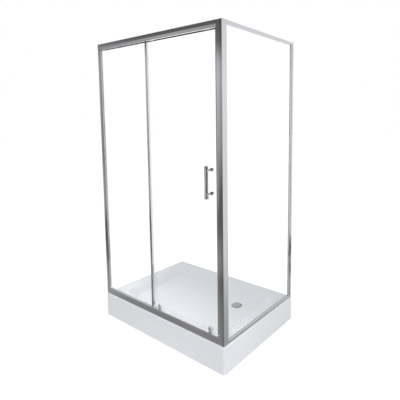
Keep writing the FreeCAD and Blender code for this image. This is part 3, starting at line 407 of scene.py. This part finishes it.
# %% Moulded pieces
def moulded(name, tone, rough, **sockets):
    """A moulded plastic or rubber."""
    material, tree, shader = new_finish(name, Metallic=0.0, **sockets)
    place = object_coordinates(tree)
    shade = place_group(tree, UNEVENNESS, place, Scale=30.0, Middle=0.5, Swing=0.5)
    two_tone(tree, shader, shade.outputs["Value"], tone, dimmed(tone, 0.93))
    uneven_gloss(tree, shader, scale=60.0, middle=rough, swing=0.06)
    grit = add(tree, "ShaderNodeTexNoise", Scale=900.0, Detail=2.0)
    tree.links.new(place, grit.inputs["Vector"])
    bump(tree, shader, grit.outputs["Fac"], strength=0.15, distance=0.0004)
    return material


white_plastic = moulded("white_plastic", (0.88, 0.88, 0.88), rough=0.28)
grey_plastic = moulded("grey_plastic", (0.42, 0.43, 0.45), rough=0.35)
dark_plastic = moulded("dark_plastic", (0.035, 0.035, 0.037), rough=0.45)
dark_rubber = moulded("dark_rubber", (0.045, 0.045, 0.048), rough=0.7)
trap_plastic = moulded("trap_plastic", (0.72, 0.72, 0.71), rough=0.4)
clear_seal = moulded("clear_seal", (0.80, 0.83, 0.85), rough=0.25, Transmission_Weight=0.65, IOR=1.4)
grey_seal = moulded("grey_seal", (0.23, 0.235, 0.25), rough=0.35)


# %% Zinc and board
def spangled_zinc(name, tone, scale):
    """Zinc whose crystals differ in tone and gloss."""
    material, tree, shader = new_finish(name, Metallic=1.0)
    crystals = add(tree, "ShaderNodeTexVoronoi", Scale=scale)
    tree.links.new(object_coordinates(tree), crystals.inputs["Vector"])
    chance = parts_of(tree, crystals.outputs["Color"])
    two_tone(tree, shader, chance["X"], tone, dimmed(tone, 0.72))
    rough = calculate(tree, "MULTIPLY_ADD", chance["Y"], 0.2, 0.32)
    tree.links.new(rough, shader.inputs["Roughness"])
    return material


def chip_board():
    """Pressed wood chips, each with its own tone."""
    material, tree, shader = new_finish("chip_board", Metallic=0.0, Roughness=0.85)
    chips = add(tree, "ShaderNodeTexVoronoi", Scale=240.0)
    tree.links.new(object_coordinates(tree, (1, 1.6, 1)), chips.inputs["Vector"])
    chance = parts_of(tree, chips.outputs["Color"])
    two_tone(tree, shader, chance["X"], (0.55, 0.42, 0.27), (0.36, 0.25, 0.15))
    bump(tree, shader, chips.outputs["Distance"], strength=0.4, distance=0.001)
    return material


galvanised_steel = spangled_zinc("galvanised_steel", (0.60, 0.62, 0.64), scale=70.0)
zinc_steel = spangled_zinc("zinc_steel", (0.66, 0.66, 0.62), scale=400.0)
board = chip_board()

# %% [markdown]
# ## Give every measured piece its finish
# A table from finish to nodes is easier to read and to check than an assignment per line.

# %% Assign the finishes
sides = ("left", "right")


def both(name):
    """The left and the right node of a pair."""
    return [name + "_" + side for side in sides]


finish_of = {
    aluminium_upright: ["left_wall_channel", "back_wall_channel", "left_stile", "back_stile", "centre_stile"],
    aluminium_post: ["corner_post"],
    aluminium_rail: ["header_rail", "bottom_rail", "rail_infill_strips"],
    aluminium_side_rail: ["side_top_rail", "side_bottom_rail"],
    chrome_bright: ["handle_bar", "lower_roller_caps", "channel_screws", "upper_roller_carriers"],
    handle_chrome: ["handle_posts", "handle_washers", "handle_screws"],
    drain_chrome: ["drain_flange", "drain_cover"],
    roller_steel: ["upper_axles"] + both("upper_bearing") + both("lower_bearing") + both("lower_axle")
    + both("release_spring"),
    tray_acrylic: ["tray_shell"],
    apron_acrylic: ["apron_panel"],
    glass_clear: ["fixed_front_glass", "side_glass", "door_glass"],
    white_plastic: ["foot_clips", "lower_roller_housings"] + both("lower_carrier")
    + both("upper_wheel") + both("lower_wheel"),
    grey_plastic: ["end_caps"],
    dark_plastic: ["foot_pads"],
    dark_rubber: ["track_stops", "drain_gasket"],
    trap_plastic: ["trap_body", "trap_insert"],
    clear_seal: ["front_glazing_gaskets", "side_glazing_gaskets", "stile_lip_seal", "door_edge_seal"],
    grey_seal: ["post_magnet_strip", "door_magnet_strip"],
    galvanised_steel: ["long_tubes", "cross_tubes", "apron_brackets"],
    zinc_steel: ["foot_studs", "foot_nuts"],
    board: ["base_board"],
}

finished = set()
for finish, names in finish_of.items():
    for name in names:
        for slot in nodes[name].material_slots:
            slot.material = finish
        finished.add(name)
print("without a finish:", sorted(set(nodes) - finished))

# %% [markdown]
# ## Small things that repeat
# Threads and screw heads come in sets, so Geometry Nodes make one and set it down at every place. The
# places are read from the measured pieces: a merged copy of a node's mesh falls apart into its
# separate solids, and each solid's box says where a stud or a screw stands.


# %% Find the separate solids of a measured piece
def solids_of(name):
    """The box of each separate solid in a node, sorted by its lowest corner."""
    shape = bmesh.new()
    shape.from_mesh(nodes[name].data)
    bmesh.ops.remove_doubles(shape, verts=shape.verts, dist=1e-6)
    unseen = set(shape.verts)
    boxes = []
    while unseen:
        reached = [unseen.pop()]
        corners = []
        while reached:
            vertex = reached.pop()
            corners.append(vertex.co.copy())
            for edge in vertex.link_edges:
                other = edge.other_vert(vertex)
                if other in unseen:
                    unseen.remove(other)
                    reached.append(other)
        low = Vector([min(place[axis] for place in corners) for axis in range(3)])
        high = Vector([max(place[axis] for place in corners) for axis in range(3)])
        boxes.append((low, high))
    shape.free()
    return sorted(boxes, key=lambda box: tuple(box[0]))


stud_boxes = solids_of("foot_studs")
screw_boxes = solids_of("channel_screws")
for label, boxes in (("stud", stud_boxes), ("screw", screw_boxes)):
    for low, high in boxes:
        print(label, [round(1000 * value, 1) for value in (*low, *high)])


# %% Helpers for Geometry Nodes
def new_tree(name, sizes):
    """An empty geometry tree with named sizes, and the nodes at its two ends."""
    tree = bpy.data.node_groups.new(name, "GeometryNodeTree")
    tree.interface.new_socket("Geometry", in_out="INPUT", socket_type="NodeSocketGeometry")
    for label, value in sizes.items():
        socket = tree.interface.new_socket(label, in_out="INPUT", socket_type="NodeSocketFloat")
        socket.default_value = value
    tree.interface.new_socket("Geometry", in_out="OUTPUT", socket_type="NodeSocketGeometry")
    return tree, tree.nodes.new("NodeGroupInput"), tree.nodes.new("NodeGroupOutput")


def geo(tree, kind, settings=None, **inputs):
    """A geometry node whose inputs are numbers, vectors or links."""
    node = tree.nodes.new("GeometryNode" + kind)
    for name, value in (settings or {}).items():
        setattr(node, name, value)
    for name, value in inputs.items():
        socket = node.inputs[name.replace("_", " ")]
        if isinstance(value, bpy.types.NodeSocket):
            tree.links.new(value, socket)
        else:
            socket.default_value = value
    return node


def set_down(tree, start, end, shape, finish):
    """Put the shape at every point, facing the way the point says, and end the tree."""
    facing = geo(tree, "InputNamedAttribute", {"data_type": "FLOAT_VECTOR"}, Name="facing")
    turn = tree.nodes.new("FunctionNodeAlignRotationToVector")
    tree.links.new(facing.outputs["Attribute"], turn.inputs["Vector"])
    places = geo(tree, "MeshToPoints", Mesh=start.outputs["Geometry"])
    copies = geo(tree, "InstanceOnPoints", Points=places.outputs["Points"], Instance=shape,
                 Rotation=turn.outputs["Rotation"])
    whole = geo(tree, "RealizeInstances", Geometry=copies.outputs["Instances"])
    painted = geo(tree, "SetMaterial", Geometry=whole.outputs["Geometry"], Material=finish)
    tree.links.new(painted.outputs["Geometry"], end.inputs["Geometry"])


def grow(name, tree, places, sizes):
    """A plain mesh piece from a tree that runs on points; each place is a point and a direction."""
    mesh = bpy.data.meshes.new(name)
    mesh.from_pydata([point for point, direction in places], [], [])
    facing = mesh.attributes.new("facing", "FLOAT_VECTOR", "POINT")
    for index, (point, direction) in enumerate(places):
        facing.data[index].vector = direction
    seed = bpy.data.objects.new(name + "_places", mesh)
    bpy.context.scene.collection.objects.link(seed)
    modifier = seed.modifiers.new("nodes", "NODES")
    modifier.node_group = tree
    for item in tree.interface.items_tree:
        if item.in_out == "INPUT" and item.name in sizes:
            modifier[item.identifier] = sizes[item.name]
    seen = seed.evaluated_get(bpy.context.evaluated_depsgraph_get())
    result = bpy.data.meshes.new_from_object(seen)
    result.name = name
    bpy.data.objects.remove(seed)
    piece = bpy.data.objects.new(name, result)
    bpy.context.scene.collection.objects.link(piece)
    print(name, len(result.polygons), "faces at", len(places), "places")
    return piece


# %% [markdown]
# ## Thread on the foot studs
# The feet are threaded rods, so that the tray can be levelled. A rolled thread is one ridge that
# winds up the rod. A spiral curve of constant radius, swept with a three-cornered profile, makes just
# that, and its pitch and length stay free inputs.


# %% Rolled thread
ridge_share = 0.45  # of the pitch


def thread_tree(sizes):
    """A ridge wound round the upright axis, from the point upwards."""
    tree, start, end = new_tree("rolled_thread", sizes)
    radius, pitch, length = [start.outputs[label] for label in ("Radius", "Pitch", "Length")]
    winding = geo(tree, "CurveSpiral", Resolution=14, Rotations=calculate(tree, "DIVIDE", length, pitch),
                  Start_Radius=radius, End_Radius=radius, Height=length)
    ridge = geo(tree, "CurvePrimitiveCircle", Resolution=3,
                Radius=calculate(tree, "MULTIPLY", pitch, ridge_share))
    swept = geo(tree, "CurveToMesh", Curve=winding.outputs["Curve"],
                Profile_Curve=ridge.outputs["Curve"], Fill_Caps=True)
    set_down(tree, start, end, swept.outputs["Mesh"], zinc_steel)
    return tree


thread_margin = 0.010
thread_pitch = 0.00175
thread_sink = 0.0003
stud_low, stud_high = stud_boxes[0]
thread_sizes = {"Radius": (stud_high.x - stud_low.x) / 2 - thread_sink, "Pitch": thread_pitch,
                "Length": stud_high.z - stud_low.z - 2 * thread_margin}
thread_places = []
for low, high in stud_boxes:
    thread_foot = ((low.x + high.x) / 2, (low.y + high.y) / 2, low.z + thread_margin)
    thread_places.append((thread_foot, (0, 0, 1)))
threads = grow("foot_threads", thread_tree(thread_sizes), thread_places, thread_sizes)
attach(threads, "root")

# %% [markdown]
# ## Screws with a cross recess
# The stiles are fixed to the wall channels by pan-head screws, seen from inside. The measured ones
# are plain stepped rods. Here the head is half of a flattened ball with a cross cut into it, made
# once in a tree and set down at each screw, its own way round.


# %% Pan-head screw
# The arms of the cross, as shares of the head's radius and height.
arm_width, arm_length = 0.34, 1.25
arm_height, arm_level = 1.2, 0.95


def vector_of(tree, x, y, z):
    """A vector from three numbers or links."""
    return feed(tree, tree.nodes.new("ShaderNodeCombineXYZ"), x, y, z)


def raised(tree, shape, level):
    """A shape moved up the axis."""
    moved = geo(tree, "Transform", Geometry=shape.outputs["Mesh"], Translation=vector_of(tree, 0, 0, level))
    return moved.outputs["Geometry"]


def screw_tree(sizes):
    """A screw whose head stands on the point and whose shank goes down from it."""
    tree, start, end = new_tree("pan_head_screw", sizes)
    radius, height = start.outputs["Head Radius"], start.outputs["Head Height"]
    shank_radius, shank_length = start.outputs["Shank Radius"], start.outputs["Shank Length"]

    def times(size, share):
        return calculate(tree, "MULTIPLY", size, share)

    ball = geo(tree, "MeshUVSphere", Segments=28, Rings=14, Radius=1.0)
    dome = geo(tree, "Transform", Geometry=ball.outputs["Mesh"], Scale=vector_of(tree, radius, radius, height))
    lower_half = geo(tree, "MeshCube", Size=vector_of(tree, times(radius, 3), times(radius, 3), height))
    cutters = [raised(tree, lower_half, times(height, -0.5))]
    for wide, long in ((arm_width, arm_length), (arm_length, arm_width)):
        arm_size = vector_of(tree, times(radius, wide), times(radius, long), times(height, arm_height))
        arm = geo(tree, "MeshCube", Size=arm_size)
        cutters.append(raised(tree, arm, times(height, arm_level)))
    head = dome.outputs["Geometry"]
    for cutter in cutters:
        cut = geo(tree, "MeshBoolean", {"operation": "DIFFERENCE"}, Mesh_1=head, Mesh_2=cutter)
        head = cut.outputs["Mesh"]
    shank = geo(tree, "MeshCylinder", Vertices=20, Radius=shank_radius, Depth=shank_length)
    screw = tree.nodes.new("GeometryNodeJoinGeometry")
    tree.links.new(head, screw.inputs[0])
    tree.links.new(raised(tree, shank, times(shank_length, -0.5)), screw.inputs[0])
    set_down(tree, start, end, screw.outputs[0], chrome_bright)
    return tree


# %% Set the screws
screw_sizes = {"Head Radius": 0.0038, "Head Height": 0.0022, "Shank Radius": 0.002, "Shank Length": 0.009}
head_height = screw_sizes["Head Height"]
screw_places = []
for low, high in screw_boxes:
    middle = (low + high) / 2
    if middle.x < 0:
        screw_places.append(((middle.x, high.y - head_height, middle.z), (0, 1, 0)))
    else:
        screw_places.append(((low.x + head_height, middle.y, middle.z), (-1, 0, 0)))
screws = grow("pan_head_screws", screw_tree(screw_sizes), screw_places, screw_sizes)
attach(screws, "root")
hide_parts("channel_screws")

# %% [markdown]
# ## Rings on the drain cover
# The lift-off cover is a pressed disc. A raised bead runs round near its edge and a smaller one
# round its middle. Both are one profile turned about the upright axis, so a lathe in mesh code
# makes them exactly round and closed.


# %% Skins over rows of rings
def skin(shape, rings, closed):
    """Faces from each ring of points to the next. A closed row joins up, an open one is capped."""
    rows = [[shape.verts.new(point) for point in ring] for ring in rings]
    for this, following in zip(rows, rows[1:] + rows[:1] if closed else rows[1:]):
        for index in range(len(this)):
            after = (index + 1) % len(this)
            shape.faces.new((this[index], this[after], following[after], following[index]))
    if not closed:
        shape.faces.new(rows[0])
        shape.faces.new(rows[-1])


def finished_piece(name, shape, finish):
    """A smooth mesh piece from a shape, with its finish."""
    bmesh.ops.recalc_face_normals(shape, faces=shape.faces)
    mesh = bpy.data.meshes.new(name)
    shape.to_mesh(mesh)
    shape.free()
    for face in mesh.polygons:
        face.use_smooth = True
    mesh.materials.append(finish)
    piece = bpy.data.objects.new(name, mesh)
    bpy.context.scene.collection.objects.link(piece)
    print(name, len(mesh.polygons), "faces")
    return piece


# %% Turn closed profiles about the drain's axis
def turned(name, axis, profiles, steps, finish):
    """A piece from closed profiles, each a list of reaches and levels, turned about an upright axis."""
    shape = bmesh.new()
    angles = [2 * math.pi * step / steps for step in range(steps)]
    for profile in profiles:
        skin(shape, [[(axis[0] + reach * math.cos(angle), axis[1] + reach * math.sin(angle), level)
                      for reach, level in profile] for angle in angles], closed=True)
    return finished_piece(name, shape, finish)


def bead(reach, top, width, height, steps=10, sink=0.0006):
    """A half-round bead that sits a little in the surface under it."""
    points = []
    for step in range(steps + 1):
        angle = math.pi * step / steps
        points.append((reach + width / 2 * math.cos(angle), top + height * math.sin(angle)))
    return points + [(reach - width / 2, top - sink), (reach + width / 2, top - sink)]


cover_low, cover_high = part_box("drain_cover")
cover_axis = ((cover_low[0] + cover_high[0]) / 2, (cover_low[1] + cover_high[1]) / 2)
cover_top = cover_high[2]
edge_bead = bead(reach=0.0315, top=cover_top, width=0.0042, height=0.0013)
middle_bead = bead(reach=0.0105, top=cover_top, width=0.0032, height=0.0010)
cover_rings = turned("drain_cover_rings", cover_axis, [edge_bead, middle_bead], 72, drain_chrome)
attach(cover_rings, "drain_cover")

# %% [markdown]
# ## Release springs
# A compression spring holds each lower roller down. It stands between the roller's arm and the roof
# of its housing, so when the arm is lifted the real spring gets shorter. The one made here keeps its
# length and rides with the lower carrier. Its wire winds as a helix with one closed turn at each end,
# as such springs are made.


# %% Wind the springs
def coil_rings(centre, bottom, top, reach, wire, open_turns, steps=28, corners=10):
    """Rings of points round the wire of a compression spring."""
    closed_rise = wire * 1.04
    open_rise = top - bottom - wire - 2 * closed_rise
    rings = []
    for step in range((open_turns + 2) * steps + 1):
        turn = step / steps
        closed_part = min(turn, 1) + max(turn - 1 - open_turns, 0)
        open_part = min(max((turn - 1) / open_turns, 0), 1)
        level = bottom + wire / 2 + closed_rise * closed_part + open_rise * open_part
        angle = 2 * math.pi * turn
        ring = []
        for corner in range(corners):
            around_wire = 2 * math.pi * corner / corners
            out = reach + wire / 2 * math.cos(around_wire)
            ring.append((centre[0] + out * math.cos(angle), centre[1] + out * math.sin(angle),
                         level + wire / 2 * math.sin(around_wire)))
        rings.append(ring)
    return rings


wire_thickness = 0.0009
for side in sides:
    low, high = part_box("release_spring_" + side)
    middle = ((low[0] + high[0]) / 2, (low[1] + high[1]) / 2)
    wire_reach = (high[0] - low[0] - wire_thickness) / 2
    shape = bmesh.new()
    skin(shape, coil_rings(middle, low[2], high[2], wire_reach, wire_thickness, open_turns=5), closed=False)
    spring = finished_piece("spring_coil_" + side, shape, roller_steel)
    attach(spring, "lower_carrier_" + side)
    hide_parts("release_spring_" + side)
    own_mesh(spring)

# %% [markdown]
# ## The white studio
# The background is pure white, but polished metal shows a room: a dark ceiling edge, a pale wall and
# a dark floor edge in front of the enclosure, and a bright wall behind it. The world answers each
# kind of ray in turn: white for the camera and through glass, the toned room for reflections, and
# plain light for everything else. The room is two colour ramps over the height of a direction, one in
# front and one behind. Each is multiplied by a ramp from left to right and has soft panels hung in it.

# %% The tones of the room
# Each stop is a level from -1 to 1 and its tone, grey where it is one number.
ROOM_IN_FRONT = [
    (-1.0, (0.30, 0.295, 0.29)), (-0.52, (0.25, 0.24, 0.235)), (-0.46, (0.205, 0.20, 0.195)),
    (-0.43, (0.13, 0.127, 0.125)), (-0.417, (0.09, 0.088, 0.086)), (-0.40, (0.20, 0.195, 0.19)),
    (-0.385, (0.27, 0.265, 0.26)), (-0.35, (0.24, 0.235, 0.23)), (-0.29, (0.12, 0.117, 0.115)),
    (-0.21, 0.10), (-0.14, 0.22), (-0.08, 0.36), (0.04, 0.46), (0.13, (0.56, 0.56, 0.565)),
    (0.165, 0.50), (0.195, (0.10, 0.10, 0.095)), (0.28, (0.10, 0.10, 0.095)), (0.5, 0.4), (1.0, 0.8)]
ROOM_BEHIND = [
    (-1.0, 0.45), (-0.53, (0.42, 0.415, 0.41)), (-0.47, (0.50, 0.495, 0.49)),
    (-0.41, (0.66, 0.66, 0.655)), (-0.35, 0.82), (-0.1, (0.87, 0.87, 0.875)), (0.1, 0.93),
    (0.25, 0.85), (0.38, 0.48), (1.0, 0.55)]
FRONT_FROM_LEFT = [
    (-1.0, 0.80), (-0.85, 0.80), (-0.73, 1.25), (-0.66, 1.12), (-0.60, 0.80), (-0.5, 0.60), (1.0, 0.60)]
BEHIND_FROM_LEFT = [(-1.0, 1.5), (-0.80, 1.5), (-0.66, 1.0), (1.0, 1.0)]
# Each panel is its lowest and highest level, its left and right end, its soft edge and its tone.
PANELS_IN_FRONT = [
    (-0.50, -0.42, -1.0, -0.78, 0.02, 0.27), (-0.405, -0.36, -1.0, -0.81, 0.02, 0.46),
    (-0.22, -0.13, -1.0, -0.715, 0.035, 0.42), (-0.30, -0.05, -0.50, 0.12, 0.06, 0.66)]
PANELS_BEHIND = [(-0.352, -0.314, 0.30, 0.545, 0.008, 0.05), (-0.390, -0.374, 0.30, 0.545, 0.008, 0.08)]
print("room:", len(ROOM_IN_FRONT), "tones in front,", len(ROOM_BEHIND), "behind")


# %% Ramps and panels
def ramp_over(tree, level, stops):
    """A colour ramp over a level from -1 to 1."""
    ramp = tree.nodes.new("ShaderNodeValToRGB")
    elements = ramp.color_ramp.elements
    while len(elements) < len(stops):
        elements.new(0.5)
    for element, (at, tone) in zip(elements, stops):
        element.position = (at + 1) / 2
        element.color = (tone, tone, tone, 1) if isinstance(tone, float) else (*tone, 1)
    tree.links.new(calculate(tree, "MULTIPLY_ADD", level, 0.5, 0.5), ramp.inputs["Fac"])
    return ramp.outputs["Color"]


def hang_panels(tree, room, height, to_x, panels):
    """The room with soft-edged panels of one tone in it; a panel may start at the ramp's end, -1."""
    for low, high, left, right, edge, tone in panels:
        upright = [(low - edge, 0.0), (low, 1.0), (high, 1.0), (high + edge, 0.0)]
        level = [(max(left - edge, -1.0), 0.0), (max(left, -0.999), 1.0), (right, 1.0), (right + edge, 0.0)]
        share = calculate_vector(tree, "MULTIPLY", ramp_over(tree, height, upright),
                                 ramp_over(tree, to_x, level))
        room = between(tree, share, room, (tone, tone, tone))
    return room


def half_room(tree, height, to_x, tones, from_left, panels):
    """One half of the room: its tones by height, its light from left to right, and its panels."""
    lit = calculate_vector(tree, "MULTIPLY", ramp_over(tree, height, tones), ramp_over(tree, to_x, from_left))
    return hang_panels(tree, lit, height, to_x, panels)


# %% The world
room_light = 0.75
behind_glass = 1.07  # a pane takes a few percent of the light, and this gives it back
COOL_WHITE = (0.97, 0.985, 1.0, 1)
PURE_WHITE = (1, 1, 1, 1)


def studio_world():
    """White for the camera and through glass, the room for mirrors, plain light for the rest."""
    world = bpy.data.worlds.new("studio")
    bpy.context.scene.world = world
    world.use_nodes = True
    tree = world.node_tree
    tree.nodes.clear()
    ray = tree.nodes.new("ShaderNodeLightPath").outputs
    direction = tree.nodes.new("ShaderNodeTexCoord").outputs["Generated"]
    height = parts_of(tree, direction)["Z"]
    level_part = calculate_vector(tree, "MULTIPLY", direction, (1, 1, 0))
    towards = parts_of(tree, calculate_vector(tree, "NORMALIZE", level_part))
    in_front = half_room(tree, height, towards["X"], ROOM_IN_FRONT, FRONT_FROM_LEFT, PANELS_IN_FRONT)
    at_back = half_room(tree, height, towards["X"], ROOM_BEHIND, BEHIND_FROM_LEFT, PANELS_BEHIND)
    behind = add(tree, "ShaderNodeMapRange", From_Min=-0.35, From_Max=0.25)
    tree.links.new(towards["Y"], behind.inputs["Value"])
    mirrored = tree.nodes.new("ShaderNodeBackground")
    room = between(tree, behind.outputs["Result"], in_front, at_back)
    tree.links.new(room, mirrored.inputs["Color"])
    light = add(tree, "ShaderNodeBackground", Color=COOL_WHITE, Strength=room_light)
    white = add(tree, "ShaderNodeBackground", Color=PURE_WHITE, Strength=1.0)
    clear = add(tree, "ShaderNodeBackground", Color=PURE_WHITE, Strength=behind_glass)
    answer = light.outputs[0]
    for kind, seen in (("Is Glossy Ray", mirrored), ("Is Transmission Ray", clear), ("Is Camera Ray", white)):
        choice = tree.nodes.new("ShaderNodeMixShader")
        answer = feed(tree, choice, ray[kind], answer, seen.outputs[0])
    output = tree.nodes.new("ShaderNodeOutputWorld")
    tree.links.new(answer, output.inputs["Surface"])
    return world


print("world:", len(studio_world().node_tree.nodes), "nodes")

# %% [markdown]
# ## The floor
# A matt white floor catches the shadow. For the camera, and through glass, most of it glows white so
# that it runs into the background without a horizon, and the rest still shows the shadow. Mirrors
# don't see the floor: they see the room of the world instead.

# %% Floor
floor_reach = 30.0
floor_sink = 0.0005
floor_glow = 0.9
floor_white = 1.08


def floor_finish():
    """Matt white that glows for the eye and keeps a share of its shadow."""
    material = bpy.data.materials.new("studio_floor")
    material.use_nodes = True
    tree = material.node_tree
    tree.nodes.clear()
    ray = tree.nodes.new("ShaderNodeLightPath").outputs
    matt = add(tree, "ShaderNodeBsdfDiffuse", Color=(0.96, 0.96, 0.96, 1))
    glow = tree.nodes.new("ShaderNodeEmission")
    strength = calculate(tree, "MULTIPLY_ADD", ray["Is Transmission Ray"], behind_glass - 1, floor_white)
    tree.links.new(strength, glow.inputs["Strength"])
    seen = calculate(tree, "MAXIMUM", ray["Is Camera Ray"], ray["Is Transmission Ray"])
    share = calculate(tree, "MULTIPLY", seen, floor_glow)
    pale = feed(tree, tree.nodes.new("ShaderNodeMixShader"), share, matt.outputs[0], glow.outputs[0])
    tree.links.new(pale, tree.nodes.new("ShaderNodeOutputMaterial").inputs["Surface"])
    return material


def studio_floor():
    """A square floor, a hair below the feet, that mirrors don't see."""
    mesh = bpy.data.meshes.new("studio_floor")
    corners = [(x * floor_reach, y * floor_reach, 0) for x, y in ((-1, -1), (1, -1), (1, 1), (-1, 1))]
    mesh.from_pydata(corners, [], [(0, 1, 2, 3)])
    mesh.materials.append(floor_finish())
    floor = bpy.data.objects.new("studio_floor", mesh)
    bpy.context.scene.collection.objects.link(floor)
    floor.location.z = -floor_sink
    floor.visible_glossy = False


studio_floor()
print("floor:", 2 * floor_reach, "m square")

# %% [markdown]
# ## Lamps
# Long low strips in front and on the right light the skirts and stay below the rim, so they leave the
# basin alone. Three small soft lamps hang over the door line and brighten the front of the basin, most
# at its left end; towards the wall it keeps its shade. Mirrors and panes don't see any of them.


# %% Lamps
def soft_lamp(name, place, aim, size, power, spread=180):
    """A rectangle of light at a place, turned to what it lights."""
    data = bpy.data.lights.new(name, "AREA")
    data.shape = "RECTANGLE"
    data.size, data.size_y = size
    data.energy = power
    data.spread = math.radians(spread)
    lamp = bpy.data.objects.new(name, data)
    bpy.context.scene.collection.objects.link(lamp)
    lamp.location = place
    lamp.visible_camera = False
    lamp.visible_glossy = False
    lamp.visible_transmission = False
    lamp.rotation_euler = (Vector(aim) - Vector(place)).to_track_quat("-Z", "Y").to_euler()
    print(name, power, "W")


small_lamp = (0.3, 0.3)
soft_lamp("front_strip", (0.5, -2.7, 0.20), (0.1, -0.4, 0.09), (2.6, 0.3), power=4.0)
soft_lamp("side_strip", (2.9, 0.1, 0.14), (0.6, 0.0, 0.09), (2.4, 0.25), power=9.0)
soft_lamp("basin_left", (-0.60, -0.45, 0.9), (-0.40, -0.25, 0.14), small_lamp, power=0.57, spread=80)
soft_lamp("basin_middle", (0.10, -0.45, 0.8), (0.05, -0.30, 0.14), small_lamp, power=0.26, spread=80)
soft_lamp("basin_right", (0.72, -0.45, 0.8), (0.45, -0.25, 0.14), small_lamp, power=0.50, spread=90)

# %% Colours as written
bpy.context.scene.view_settings.view_transform = "Standard"
